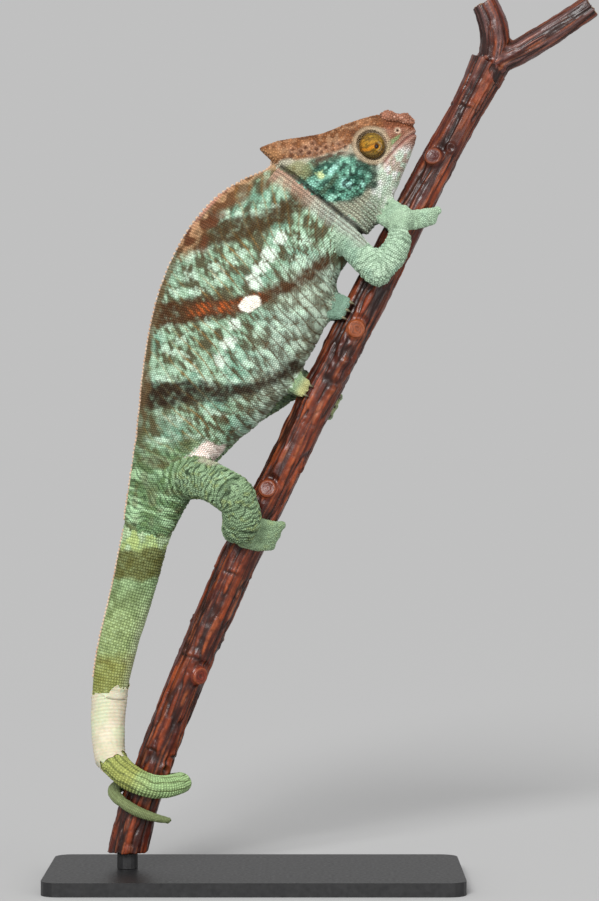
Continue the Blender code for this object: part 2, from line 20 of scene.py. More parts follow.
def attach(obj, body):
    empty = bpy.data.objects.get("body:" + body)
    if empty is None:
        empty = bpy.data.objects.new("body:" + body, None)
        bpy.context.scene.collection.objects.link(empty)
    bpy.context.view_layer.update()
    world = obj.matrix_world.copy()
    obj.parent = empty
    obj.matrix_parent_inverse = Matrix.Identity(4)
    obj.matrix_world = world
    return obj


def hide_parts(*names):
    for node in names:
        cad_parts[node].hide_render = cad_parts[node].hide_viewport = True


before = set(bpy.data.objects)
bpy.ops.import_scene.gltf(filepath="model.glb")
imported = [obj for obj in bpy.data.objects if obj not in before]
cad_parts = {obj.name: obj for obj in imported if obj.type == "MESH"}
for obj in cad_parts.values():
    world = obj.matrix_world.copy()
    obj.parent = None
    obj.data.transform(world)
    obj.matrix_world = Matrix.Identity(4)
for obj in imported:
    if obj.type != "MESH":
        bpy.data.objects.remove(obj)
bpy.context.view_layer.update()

MM = 0.001

# How the skin is made from the solids
SOLIDS_GROW = 0.25  # the solids are grown by this much, so that neighbours fuse
VOXEL = 1.33
COAT_DEPTH = 0.42  # how far the skin lies inside the solids
SKIN_FILL = 0.2  # makes up for what the smoothing takes off
SKIN_GAP_SHADE = 0.72  # of the skin's colours, which show between the scales: partly their darker skin, partly painted shade in the gaps
FINE_HEAD = 20  # ahead of this x the head's faces are cut finer
FINE_STEPS = (3.0, 6.0, 4.0)  # then the head, the hands and feet, and the tail's end are smoothed this often
FINGER_REACH = 2.0  # a corner of a hand's skin goes to the hand's own surface from this near
# How often the first smoothing moves the skin, by kind of node
SMOOTHING = {"trunk": 60, "head": 16, "tail": 24, "limb": 22, "grip": 6}

# The branch's middle line and radius: x, z, radius
BRANCH_LINE = ((-74, 17, 12.4), (-66.4, 47, 11.7), (-43.5, 108, 10.9), (-9.6, 187, 11.4), (18.8, 245, 11.0),
               (36, 281, 11.4), (65.5, 338, 11.6), (94.4, 395.5, 11.0), (122.5, 447.5, 10.0),
               (136.5, 475, 12.2))
LEFT_FORK_LINE = ((136.5, 470), (139.5, 487), (137.5, 499), (133, 510))
RIGHT_FORK_LINE = ((140, 474), (158, 484.5), (180, 498), (195, 508.5))
TWIG_SCARS = ((417, 113), (320.3, 80), (226, 106), (121.5, 52))  # height, angle from the right to the front
SCAR_RADIUS, SCAR_REACH, SCAR_SINK = 5.6, 13.4, 1.4
BARK_RINGS = (178, 129, 75, 447)  # heights of the old growth rings

# The body's sections from the nape to the vent: back x, z; belly x, z
BODY_SECTIONS = ((26, 409, 64, 377), (2, 412.5, 56, 361), (-18.5, 402.5, 49, 351), (-35, 386, 46, 340),
                 (-47.5, 366, 44, 329), (-56.5, 343.5, 39, 316), (-62, 321.5, 30.5, 301.5),
                 (-65.5, 300.5, 18.5, 284), (-67.5, 281.5, 4, 266), (-69, 264, -12.5, 254),
                 (-71, 249, -23.5, 243.5), (-73.5, 233.5, -32, 231.5), (-77.2, 206.3, -48.4, 199.6))
# The tail's middle line, x and z, and its coil: angle round the branch, distance from it, rise along it
TAIL_LINE = ((-62.8, 203), (-71, 168), (-79.5, 137.5), (-84.3, 111.5), (-85.4, 91.5))
COIL_HEIGHT = 59
COIL = ((168, 25.5, 5.5), (90, 20.6, -0.4), (0, 18.8, 5.6), (-90, 17.4, -3.2), (-180, 16.6, -11.8),
        (-270, 16.0, -16.8), (-336, 22.0, -16.6))
HEAD_LINE = ((8, 0, 412), (30, 0, 416), (55, 0, 424), (76, 0, 433), (93, 0, 436))
# Limbs from the body to the palm: x, y outward, z
LIMB_LINES = {
    "right_arm": ((50, -8, 378), (59, -21.5, 364), (70.5, -27.5, 352), (79, -25, 362), (84.5, -19, 375)),
    "left_arm": ((50, 8, 378), (44, 25, 366), (39.5, 34, 352), (41, 24, 341), (46.5, 10, 333)),
    "right_leg": ((-46, -6, 235), (-27, -24, 233.5), (-10, -35, 224.5), (-6.5, -28, 212.5), (-9.5, -17, 203)),
    "left_leg": ((-46, 6, 235), (-32, 24, 249), (-15, 31, 266), (4, 23, 278), (21, 11, 288)),
}
# Where a hand or foot holds the branch: height, palm angle, then for each bundle the number of digits,
# angle of the tips, rise to the tips, start and digit spacing
GRIPS = {
    "right_hand": (381, 104, ((3, 198, 3, 0, 5.2), (2, 20, 12, 0, 6.6))),
    "left_hand": (327.5, 203, ((3, 128, 1, -1, 4.9), (2, 286, 4, 0, 6.2))),
    "right_foot": (201.5, 122, ((3, 8, 6, 0, 6.8), (2, 236, 5, 0, 6.2))),
    "left_foot": (284.5, 222, ((2, 124, -2, -1, 6.2), (3, 326, -3, -1, 6.2))),
}

BRANCH_LUMPS, GAP, CLAW_ASIDE = 0.03, 0.3, 0.17  # as in the CAD: share of the radius, millimetres
# A claw's degrees past the digit's tip, height over the branch and radius
CLAW_PROFILE = ((-9, 1.9, 1.0), (1, 2.0, 0.95), (6, 1.7, 0.75), (10, 1.1, 0.45), (14, 0.3, 0.1))
CLAW_STEPS = 12  # of a claw's middle line, which lie past the digit's end
CLAW_ROOM = 2.3  # the skin is drawn back to the digit's end this near to a claw
TIP_RADIUS, TIP_BACK = 2.75, 7  # a digit's round end, and its middle's degrees before the tip
TAIL_KEPT = 150  # past this length the tail's skin keeps the solids' thickness
WEB_SHARE, WEB_BACK = 0.86, (3, 9, 15, 21, 27, 33)  # the web between digits: of that radius, degrees behind
WEB_EDGE = 0.7  # this near to a web the skin isn't drawn to the digits
HAND_GROW = 0.4  # a hand's skin is filled out by this much after the smoothing

CREASE_SPACING, CREASE_WIDTH, JOINT_SPACING = 6.2, 0.42, 9.0

EYE_CENTRE = (67.2, 16.2, 425.4)
EYE_GROOVE, EYE_LID, EYE_FOLD = 8.4, 9.6, 1.6  # from its middle: groove, first fold, distance between folds
GAZE = (0.40, 0.90, -0.15)  # of the left eye
MOUTH_LINE = ((95.5, 434.5), (92.5, 433.5), (86.5, 429.2), (80.5, 423.0), (76.0, 417.5), (71.5, 411.0))
THROAT_CREASE = ((14, 415), (26, 405.3), (37.6, 395.8), (51.9, 384.6), (60.5, 377.8), (67, 371))
WRINKLE_PITCH = 2.9  # distance between the fine folds of the limbs, hips and tail
PEBBLE_LENGTH = 3.6  # of the pebbles into which a limb's folds break
THIGH = (-38, 238)  # the middle of the thigh's root, in x and z
FORK, FORK_NEAR = (-35.2, 219), 13  # where thigh and tail part, in x and z; the spread of the folds there
STROKE_SPACING = 2.9  # of the rust strokes on the middle band
CREASE_DEPTH = 2.4  # of the crease behind the jaw
NECK_FOLD = 2.4  # distance between the folds beside that crease
NOSTRIL = (82.3, 434.6)

# The middle lines of the dark bands, in x and z
BAND_A = ((-40, 372), (-31, 376), (-20, 375.5), (-8.3, 377.7), (4.3, 381.2), (17.5, 388.1), (29, 396))
BAND_B = ((-64, 329), (-42.7, 329.6), (-25.5, 331.9), (-8.3, 333.1), (11.8, 341.1), (26.1, 347.9), (40, 359))
BAND_C = ((-68, 280.9), (-48.4, 282.6), (-31.2, 283.8), (-16.9, 282.6), (-2.6, 286.1), (11.8, 291.8),
          (24, 299))
# Their half widths at the back and the belly, and colour
BANDS = ((BAND_A, 8.2, 5.2, (70, 50, 18)), (BAND_B, 7.4, 3.4, (76, 44, 16)), (BAND_C, 7.1, 3.4, (42, 25, 9)))
# Ovals: x, z, half length, half width, degrees from level
SPOT, GROIN, GROIN_SHADE = (-2.6, 334.2, 6.6, 4.5, 16), (-28.5, 249, 13.5, 6.6, 16), (-52, 243.5, 17, 4.5, -6)
LEG_GROIN, FAR_HAND, FAR_FOOT = (-23, 247, 13, 6, 12), (46, 328, 20, 16, 62), (36, 281, 22, 15, 62)
TEMPLE, CHEEK, CASQUE_TIP = (46, 406, 24.5, 14.5, 8), (23, 411, 13, 7, 10), (5, 420, 14, 6, 5)
SNOUT_STREAKS = ((77.5, 426.0, 5.5, 1.9, 58), (81.0, 429, 5.0, 1.2, 48), (76, 421.5, 3, 2.4, 80))
FLAKY_BARK = (53, 300, 26, 12, 62)
PALE_BLOTCHES = (
    (12.3, 388.7, 3.2, 3.2, 0), (0.3, 386, 3.4, 3.4, 40), (-8.3, 385.6, 3.0, 3.6, 0), (-17, 386, 4, 3.5, 0),
    (-6.6, 363.4, 4.2, 2.6, 20), (-13, 359, 3, 2.6, 30), (-22, 355, 4, 2.4, -30), (-19.8, 348.6, 4, 3.4, -30),
    (-37, 351, 4.6, 4.0, 20), (-33, 341.2, 5.0, 2.6, 10), (-46.7, 341.2, 3.6, 3.0, 0), (-37, 363, 4, 2.5, 20),
    (-26.6, 322.4, 3.4, 4.0, 0), (-42.7, 313.6, 4.6, 2.6, 10), (-46, 306.6, 7.5, 2.6, -20),
    (-36, 298.4, 8.5, 2.0, -35), (-54, 291.5, 11, 2.6, -4), (-28, 290.6, 7, 2.6, -35), (-50, 322, 4, 2.4, 0),
    (26, 358, 4.2, 5.6, 50), (33, 391, 4.6, 4.6, 0), (29, 371, 5, 3, -50), (26, 329.5, 4.8, 3.2, -20),
    (15.8, 321, 4.6, 2.8, -35), (-2.5, 299.8, 4.4, 2.8, -35), (-30, 366, 5, 3, 10), (-12, 290, 5, 2, -20),
    (-44, 268, 9, 2.2, -6), (-24, 272, 8, 2.2, -12), (-56, 256, 8, 2, -3), (-34, 258, 8, 2.2, -6),
    (14, 341, 3.5, 2.4, -30), (3, 320, 3.6, 2.4, -35), (8, 306, 4, 2.2, -35), (20, 309, 4, 2.2, -35),
)
# The two slanting rows of pale blocks
PALE_BLOCKS = (
    (14.6, 372, 4.2, 4.4, -35), (8.9, 362.3, 4.8, 4.8, -35), (4.3, 354.8, 5.6, 4.2, -35),
    (0.3, 346.2, 5.8, 4, -35),
    (-10.6, 322.7, 3.8, 4.2, -40), (-15.2, 311.4, 4.2, 5.0, -40), (-19.7, 301.5, 5.0, 4.2, -40),
)


def paint(colour):
    """A linear colour from a paint chart's red, green and blue, out of 255."""
    parts = np.array(colour) / 255
    return np.where(parts <= 0.04045, parts / 12.92, ((parts + 0.055) / 1.055) ** 2.4)


MINT, PALE_MINT, CREAM = (148, 182, 150), (206, 235, 211), (252, 247, 232)
TURQUOISE = (110, 165, 145)
UMBER, RUST = (76, 56, 26), (190, 92, 34)
LILAC, OCHRE = (196, 202, 188), (168, 128, 62)
LIMB_GREEN, LIMB_DARK, LEG_GREEN = (176, 204, 176), (62, 84, 56), (146, 174, 134)
LEG_DARK = (40, 54, 32)  # in the folds of a leg
TAIL_GREEN = (150, 168, 112)
GROIN_PINK = (255, 236, 226)


# Numbers and curves


def unit(vectors):
    vectors = np.asarray(vectors, float)
    return vectors / np.maximum(np.linalg.norm(vectors, axis=-1, keepdims=True), 1e-12)


def ease(low, high, value):
    """From 0 at low to 1 at high, smoothly."""
    t = np.clip((np.asarray(value, float) - low) / (high - low), 0, 1)
    return t * t * (3 - 2 * t)


def bell(value, width):
    return np.exp(-((value / width) ** 2))


def norms(vectors):
    return np.linalg.norm(vectors, axis=1)


def even(points, colour):
    """One colour for all of the points."""
    return np.tile(paint(colour), (len(points), 1))


def lay(colours, colour, amount):
    """Changes these colours towards another, given from a paint chart or as a linear one for each point."""
    colour = paint(colour) if isinstance(colour, tuple) else colour
    colours += (colour - colours) * np.asarray(amount)[..., None]
    return colours


def spline(rows, per_span):
    """A smooth curve through rows of numbers, with per_span steps between neighbours."""
    rows = np.array(rows, float)
    padded = np.vstack([2 * rows[0] - rows[1], rows, 2 * rows[-1] - rows[-2]])
    t = (np.arange(per_span) / per_span)[:, None]
    found = []
    for before, start, end, after in zip(padded, padded[1:], padded[2:], padded[3:]):
        cubic = 3 * start - before - 3 * end + after
        found.append(start + 0.5 * ((end - before) * t + (2 * before - 5 * start + 4 * end - after) * t**2
                                    + cubic * t**3))
    return np.vstack(found + [rows[-1:]])


def lengths_along(path):
    return np.concatenate([[0], np.cumsum(norms(np.diff(path, axis=0)))])


def interpolated(wanted, run, rows):
    """The rows' numbers at the wanted lengths, where run has each row's own length."""
    return np.stack([np.interp(wanted, run, rows[:, axis]) for axis in range(rows.shape[1])], axis=-1)


def resampled(path):
    """The path with points at even steps of its length, about a millimetre apart."""
    run = lengths_along(path)
    return interpolated(np.linspace(0, run[-1], int(round(run[-1])) + 1), run, path)


def curve_distance(flat, line):
    """Distance from points in x and z to a curve, and how far along it the nearest point is, from 0 to 1."""
    path = spline(line, 3)
    run = lengths_along(path)
    nearest = np.full(len(flat), 1e9)
    along = np.zeros(len(flat))
    for start, end, before, after in zip(path, path[1:], run, run[1:]):
        step = end - start
        share = np.clip((flat - start) @ step / (step @ step), 0, 1)
        distance = norms(flat - start - share[:, None] * step)
        closer = distance < nearest
        nearest = np.where(closer, distance, nearest)
        along = np.where(closer, before + (after - before) * share, along)
    return nearest, along / run[-1]


def noise(points, size, seed=0):
    """Smooth noise from 0 to 1 with bumps of about this size."""
    scaled = np.asarray(points, float) / size + seed * 17.37
    corner = np.floor(scaled).astype(np.int64)
    share = scaled - corner
    share = share * share * (3 - 2 * share)
    total = np.zeros(len(scaled))
    for offsets in product((0, 1), repeat=3):
        x, y, z = (corner + offsets).T
        hashed = (x * 73856093) ^ (y * 19349663) ^ (z * 83492791) ^ (seed * 2654435)
        hashed = (hashed ^ (hashed >> 13)) * 1274126177
        value = ((hashed ^ (hashed >> 16)) & 0xFFFF) / 65535
        weight = np.ones(len(scaled))
        for axis, offset in enumerate(offsets):
            weight *= share[:, axis] if offset else 1 - share[:, axis]
        total += value * weight
    return total


def blotch(flat, oval, ragged=0.0, size=1):
    """How deep points in x and z lie in an oval patch: over 0 inside it, 1 at its middle."""
    x, z, half_length, half_width, degrees = oval
    turn = math.radians(degrees)
    dx, dz = flat[:, 0] - x, flat[:, 1] - z
    along = (dx * math.cos(turn) + dz * math.sin(turn)) / (half_length * size)
    across = (dz * math.cos(turn) - dx * math.sin(turn)) / (half_width * size)
    return 1 - np.sqrt(along**2 + across**2) + ragged


def lay_oval(colours, flat, oval, colour, share, ragged=0.0, edge=(0, 0.5), size=1):
    """Lays a colour on an oval patch, fully from the second depth of its edge on."""
    lay(colours, colour, ease(*edge, blotch(flat, oval, ragged, size)) * share)


def eye_distance(points):
    """Distance from the middle of the nearer eye."""
    return norms(np.column_stack([points[:, 0], np.abs(points[:, 1]), points[:, 2]]) - EYE_CENTRE)


# Meshes


def tuned(thing, **settings):
    """Sets these properties of a thing and gives it back."""
    for key, value in settings.items():
        setattr(thing, key, value)
    return thing


def placed(name, data, **settings):
    """A new object in the scene."""
    made = tuned(bpy.data.objects.new(name, data), **settings)
    bpy.context.scene.collection.objects.link(made)
    return made


def link(mesh, material, replaced=()):
    """A finished piece of the object, in the frame."""
    made = placed(mesh.name, mesh)
    mesh.materials.clear()
    mesh.materials.append(material)
    mesh.shade_smooth()
    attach(made, "root")
    if replaced:
        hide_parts(*replaced)


def mesh_of(name, corners, *face_groups):
    """A mesh from corners in millimetres and groups of faces, each an array with one face in a row."""
    mesh = bpy.data.meshes.new(name)
    mesh.vertices.add(len(corners))
    mesh.vertices.foreach_set("co", (np.asarray(corners, np.float32) * MM).ravel())
    sizes = np.concatenate([np.full(len(group), group.shape[1]) for group in face_groups])
    mesh.loops.add(int(sizes.sum()))
    mesh.loops.foreach_set("vertex_index", np.concatenate([group.ravel() for group in face_groups]))
    mesh.polygons.add(len(sizes))
    mesh.polygons.foreach_set("loop_start", np.concatenate([[0], np.cumsum(sizes)[:-1]]))
    mesh.update(calc_edges=True)
    return mesh


def give_colours(mesh, colours):
    whole = np.ones((len(colours), 4), np.float32)
    whole[:, :3] = np.clip(colours, 0, 1)
    mesh.color_attributes.new("Markings", "FLOAT_COLOR", "POINT").data.foreach_set("color", whole.ravel())


def values_of(items, name, kind, width):
    """A property of all items of a mesh, such as its corners, with one item in a row."""
    found = np.zeros(len(items) * width, kind)
    items.foreach_get(name, found)
    return found.reshape(-1, width)


def corners_of(mesh):
    return values_of(mesh.vertices, "co", np.float32, 3).astype(float) / MM


def normals_of(mesh):
    return values_of(mesh.vertices, "normal", np.float32, 3).astype(float)


def edges_of(mesh):
    return values_of(mesh.edges, "vertices", np.int32, 2)


def triangles_of(mesh):
    return values_of(mesh.loops, "vertex_index", np.int32, 1).reshape(-1, 3)


def set_corners(mesh, corners):
    mesh.vertices.foreach_set("co", (np.asarray(corners, np.float32) * MM).ravel())
    mesh.update()


def smoothed(corners, edges, steps):
    """Each corner moved towards its neighbours' middle, as many times as steps says for it."""
    starts, ends = edges.T
    count = len(corners)
    degree = np.maximum(np.bincount(starts, minlength=count) + np.bincount(ends, minlength=count), 1)
    steps = np.broadcast_to(steps, count)
    corners = corners.copy()
    for step in range(int(np.max(steps))):
        weight = 0.5 * np.clip(steps - step, 0, 1)
        for axis in range(corners.shape[1]):
            values = corners[:, axis]
            total = np.bincount(starts, values[ends], count) + np.bincount(ends, values[starts], count)
            corners[:, axis] = values + (total / degree - values) * weight
    return corners


@contextmanager
def edited(mesh):
    """The mesh as a bmesh, which is written back afterwards."""
    shape = bmesh.new()
    shape.from_mesh(mesh)
    yield shape
    shape.to_mesh(mesh)
    shape.free()


def modified(mesh, kind, **settings):
    """A new mesh that a modifier makes of this one, which is removed."""
    name = mesh.name
    holder = placed(name, mesh)
    tuned(holder.modifiers.new(kind, kind), **settings)
    made = bpy.data.meshes.new_from_object(holder.evaluated_get(bpy.context.evaluated_depsgraph_get()))
    bpy.data.objects.remove(holder)
    bpy.data.meshes.remove(mesh)
    made.name = name
    return made


def fused(name, nodes, grow, voxel, balls=()):
    """One closed mesh round balls, as (centre, radius), and CAD nodes, grown a little so that they meet."""
    whole = bmesh.new()
    for centre, radius in balls:
        place = Matrix.Translation(centre * MM)
        bmesh.ops.create_icosphere(whole, subdivisions=3, radius=radius * MM, matrix=place)
    for node in nodes:
        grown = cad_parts[node].data.copy()
        with edited(grown) as piece:
            bmesh.ops.remove_doubles(piece, verts=piece.verts, dist=0.001 * MM)
            piece.normal_update()
            for corner in piece.verts:
                corner.co += corner.normal * grow * MM
        whole.from_mesh(grown)
        bpy.data.meshes.remove(grown)
    mesh = bpy.data.meshes.new(name)
    whole.to_mesh(mesh)
    whole.free()
    return modified(mesh, "REMESH", mode="VOXEL", voxel_size=voxel * MM)


def surface_tree(mesh):
    """A tree that finds the nearest place on a mesh."""
    faces = [tuple(face.vertices) for face in mesh.polygons]
    return BVHTree.FromPolygons([Vector(corner) for corner in corners_of(mesh)], faces)


def point_tree(points):
    """A tree that finds the nearest of these points."""
    tree = KDTree(len(points))
    for number, point in enumerate(points):
        tree.insert(Vector(point), number)
    tree.balance()
    return tree


def areas_of(triangles):
    """The areas of triangles, from the three corners of each."""
    first, second, third = triangles.transpose(1, 0, 2)
    return norms(np.cross(second - first, third - first)) / 2


def places_on(triangles, draw):
    """A random place on each triangle."""
    a, b = draw.random((2, len(triangles)))
    flip = a + b > 1
    a[flip], b[flip] = 1 - a[flip], 1 - b[flip]
    first, second, third = triangles.transpose(1, 0, 2)
    return first + (second - first) * a[:, None] + (third - first) * b[:, None]


def scattered(triangles, per_area, seed):
    """Random places on triangles, and which triangle each lies on."""
    draw = np.random.default_rng(seed)
    picked = np.repeat(np.arange(len(triangles)), draw.poisson(areas_of(triangles) * per_area))
    draw.shuffle(picked)
    return places_on(triangles[picked], draw), picked


def grid_faces(rows, columns):
    """Four-cornered faces between the rows of a grid, whose rows close into rings."""
    starts = np.arange(rows - 1)[:, None] * columns
    across = np.arange(columns)[None, :]
    after = (across + 1) % columns
    corners = (starts + across, starts + after, starts + columns + after, starts + columns + across)
    return np.stack(corners, axis=-1).reshape(-1, 4)


# Paths through the body


def branch_frame(height):
    """The branch's middle at a height, the way it grows, its right side and its front."""
    curve = spline(BRANCH_LINE, 8)[:, :2]
    x = float(np.interp(height, curve[:, 1], curve[:, 0]))
    ahead = float(np.interp(height + 4, curve[:, 1], curve[:, 0]))
    behind = float(np.interp(height - 4, curve[:, 1], curve[:, 0]))
    along = unit([ahead - behind, 0.0, 8.0])
    return np.array([x, 0.0, height]), along, np.array([along[2], 0.0, -along[0]]), np.array([0.0, -1.0, 0.0])


def round_branch(height, angle, distance, along_it):
    """A point beside the branch, by its angle from the right side towards the front."""
    middle, along, right, front = branch_frame(height)
    turn = math.radians(angle)
    return middle + along * along_it + (right * math.cos(turn) + front * math.sin(turn)) * distance


def digit_place(grip, bundle, number, past_tip, lift, lag=0):
    """A place over a digit, or between two of them.

    It is given by the degrees past the digit's tip, the height over the bark, and the degrees of the
    bundle's rise along the branch that are still to come there.
    """
    height, palm_angle, _ = grip
    count, tip_angle, rise, start, spacing = bundle
    _, heights, radii = np.array(BRANCH_LINE).T
    radius = float(np.interp(height, heights, radii))
    surface = radius * (1 + BRANCH_LUMPS) + GAP / 2
    turn = math.copysign(1, tip_angle - palm_angle)
    along = start + rise * (1 - lag / abs(tip_angle - palm_angle))
    along += (number - (count - 1) / 2) * spacing + CLAW_ASIDE
    return round_branch(height, tip_angle + turn * past_tip, surface + lift, along)


def claw_path(grip, bundle, number):
    """A claw's middle line and radii."""
    rows = spline(CLAW_PROFILE, 4)
    points = [digit_place(grip, bundle, number, degrees, lift) for degrees, lift, _ in rows]
    return np.array(points), rows[:, 2]


BUNDLES = [(grip, bundle) for grip in GRIPS.values() for bundle in grip[2]]


def digit_balls():
    """Balls as (centre, radius): one in each digit's round end, and those along the digits and their webs."""
    tips, webs = [], []
    for grip, bundle in BUNDLES:
        count, _, _, _, spacing = bundle
        radius = min(TIP_RADIUS, spacing / 2)
        for number in range(count):
            tips.append((digit_place(grip, bundle, number, -TIP_BACK, radius + 0.1), radius))
        for half in range(2 * count - 1):
            for back in WEB_BACK:
                place = digit_place(grip, bundle, half / 2, -TIP_BACK - back, radius + 0.1, back)
                webs.append((place, radius * (WEB_SHARE if half % 2 else 1)))
    return tips, webs


def in_middle_plane(line):
    line = np.array(line, float)
    return np.column_stack([line[:, 0], np.zeros(len(line)), line[:, 1]])


class Path:
    """A smooth line through a part of the body, with a frame at each step for going round it."""

    def __init__(self, points, up=None):
        self.points = resampled(np.asarray(points, float))
        self.run = lengths_along(self.points)
        self.length = self.run[-1]
        self.along = unit(np.gradient(self.points, axis=0))
        if up is None:
            across = np.array([0.0, 1.0, 0.0])
            found = []
            for along in self.along:
                across = unit(across - along * across.dot(along))
                found.append(np.cross(across, along))
            self.up = np.array(found)
        else:
            self.up = unit(interpolated(self.run, lengths_along(points), up))
        self.side = unit(np.cross(self.along, self.up))
        self.tree = point_tree(self.points)

    def at(self, where):
        """Middle, along, up and side at a length from the start."""
        return [interpolated(where, self.run, rows) for rows in (self.points, self.along, self.up, self.side)]

    def coordinates(self, points):
        """For each point: length along the path, angle round it from its upper side, and distance from it."""
        nearest = np.array([self.tree.find(Vector(point))[1] for point in points])
        offset = points - self.points[nearest]
        ahead, sideways, upward = (np.einsum("ij,ij->i", offset, ways[nearest])
                                   for ways in (self.along, self.side, self.up))
        return self.run[nearest] + ahead, np.arctan2(sideways, upward), np.hypot(sideways, upward)

    def ray(self, where, turn):
        """The skin's place, normal, face and distance, at a length and an angle from the upper side."""
        middle, _, up, side = self.at(where)
        way = up * math.cos(turn) + side * math.sin(turn)
        return SKIN_TREE.ray_cast(Vector(middle), Vector(way))


def trunk_path():
    sections = spline(BODY_SECTIONS, 8)
    backs, bellies = in_middle_plane(sections[:, :2]), in_middle_plane(sections[:, 2:])
    path = Path((backs + bellies) / 2, backs - bellies)
    halves = norms(backs - bellies) / 2
    path.half = np.interp(path.run, lengths_along((backs + bellies) / 2), halves)
    return path


def tail_path():
    hanging = in_middle_plane(spline(TAIL_LINE, 8))
    coil = [round_branch(COIL_HEIGHT, angle, distance, rise) for angle, distance, rise in spline(COIL, 12)]
    return Path(spline(np.vstack([hanging[:-6], coil[1:]])[::2], 4))


PATHS = {"trunk": trunk_path(), "tail": tail_path(), "head": Path(spline(HEAD_LINE, 8))}
PATHS.update({limb: Path(spline(line, 8)) for limb, line in LIMB_LINES.items()})

FLESH = {}
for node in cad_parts:
    if node in ("neck", "chest", "belly", "pelvis"):
        FLESH[node] = ("trunk", "trunk")
    elif node in ("head", "lower_jaw", "casque"):
        FLESH[node] = ("head", "head")
    elif node.startswith("tail"):
        FLESH[node] = ("tail", "tail")
    elif node.startswith(("left_", "right_")):
        side, rest = node.split("_", 1)
        limb = "leg" if rest.startswith(("thigh", "shank", "foot")) else "arm"
        kind = "grip" if rest.startswith(("hand", "foot")) else "limb"
        FLESH[node] = (f"{side}_{limb}", kind)
NODE_NAMES = sorted(FLESH)
NODE_PATHS, NODE_KINDS = np.array([FLESH[node] for node in NODE_NAMES]).T


def node_samples(spacing):
    """Points spread over the flesh nodes, and the number of the node that each lies on."""
    draw = np.random.default_rng(3)
    found, owners = [], []
    for number, node in enumerate(NODE_NAMES):
        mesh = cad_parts[node].data
        mesh.calc_loop_triangles()
        triangles = corners_of(mesh)[values_of(mesh.loop_triangles, "vertices", np.int32, 3)]
        counts = np.maximum(1, (areas_of(triangles) / spacing**2).astype(int))
        found.append(places_on(np.repeat(triangles, counts, axis=0), draw))
        owners.append(np.full(len(found[-1]), number))
    return np.vstack(found), np.concatenate(owners)


SAMPLES, OWNERS = node_samples(1.6)
OWNER_TREE = point_tree(SAMPLES)


def owner_of(points):
    """The number of the flesh node nearest to each point."""
    return np.array([OWNERS[OWNER_TREE.find(Vector(point))[1]] for point in points])


# Creases and folds, shared by the skin's shape, the scales' height and the colours


def coordinates_of(points, owners):
    """Length along each point's own path, angle round it and distance from it."""
    found = np.zeros((3, len(points)))
    names = NODE_PATHS[owners]
    for name in np.unique(names):
        ours = np.flatnonzero(names == name)
        found[:, ours] = PATHS[name].coordinates(points[ours])
    return found


def crease_frame(run, angle, reach):
    """The trunk's own grid: place across its slanting creases, along them, and distance from the back."""
    depth = reach * np.cos(angle)
    from_back = np.interp(run, PATHS["trunk"].run, PATHS["trunk"].half) - depth
    lean = np.radians(np.interp(run, [0, 120, 175, 215], [28, 27, 12, 0]))
    return run + depth * np.tan(lean), -depth / np.cos(lean), from_back


def trunk_creases(points, across, along, from_back):
    """How deep points lie in the trunk's creases, from 0 to 1: long slanting ones, joined on the belly."""
    level = across + (noise(points, 15, 11) - 0.5) * 5
    row = np.floor(level / CREASE_SPACING)
    near = np.abs(level - (row + 0.5) * CREASE_SPACING)
    broken = ease(0.22, 0.42, noise(points, 8, 12) + 0.010 * (from_back - 20))
    lines = bell(near, CREASE_WIDTH) * broken
    share = level / CREASE_SPACING - row
    shifted = along + share * 4.0 + (row * 0.618 % 1) * JOINT_SPACING + (noise(points, 6, 13) - 0.5) * 4
    joint = np.abs(shifted / JOINT_SPACING % 1 - 0.5) * JOINT_SPACING
    on_belly = ease(36, 52, from_back)
    joints = bell(joint, CREASE_WIDTH) * on_belly * ease(0.2, 0.45, noise(points, 5, 14))
    return np.maximum(lines, joints * 0.85)


def throat_distance(flat):
    """Distance in front of the crease behind the jaw (over 0), or behind it (under 0), and place along it."""
    distance, along = curve_distance(flat, THROAT_CREASE)
    start, end = np.array(THROAT_CREASE[0], float), np.array(THROAT_CREASE[-1], float)
    step = end - start
    side = step[0] * (flat[:, 1] - start[1]) - step[1] * (flat[:, 0] - start[0])
    return distance * np.sign(side), along


def wrinkles(points, run, pitch=WRINKLE_PITCH):
    """Height of the fine folds that run round a limb or the tail, from -0.7 to 0.3."""
    wobble = noise(points, 7, 5) * 2.2 + noise(points, 3, 6) * 0.7
    return np.abs(np.sin((run / pitch + wobble) * np.pi)) ** 0.7 - 0.7


def pebbles(points, run, angle, reach):
    """Height of a limb's pebbly folds, which are broken rings round it, from -0.7 to 0.3."""
    rings = run / WRINKLE_PITCH + noise(points, 7, 5) * 2.2 + noise(points, 3, 6) * 0.9
    across = angle * reach / PEBBLE_LENGTH + 0.5 * np.floor(rings) + (noise(points, 4, 7) - 0.5) * 1.5
    ring, joint = np.abs(np.sin(rings * np.pi)) ** 0.7, np.abs(np.sin(across * np.pi)) ** 0.5
    return ring * (0.4 + 0.6 * joint) - 0.7


def fork_folds(points):
    """Height of the folds that fan out from between thigh and tail, from -0.7 to 0.3, and their share."""
    offset = points[:, [0, 2]] - FORK
    distance = norms(offset)
    turn = np.arctan2(offset[:, 1], offset[:, 0]) % (2 * np.pi)
    folds = wrinkles(points, turn * (FORK_NEAR + 0.3 * distance), WRINKLE_PITCH * 1.1)
    return folds, ease(34, 20, distance), ease(24, 8, distance)


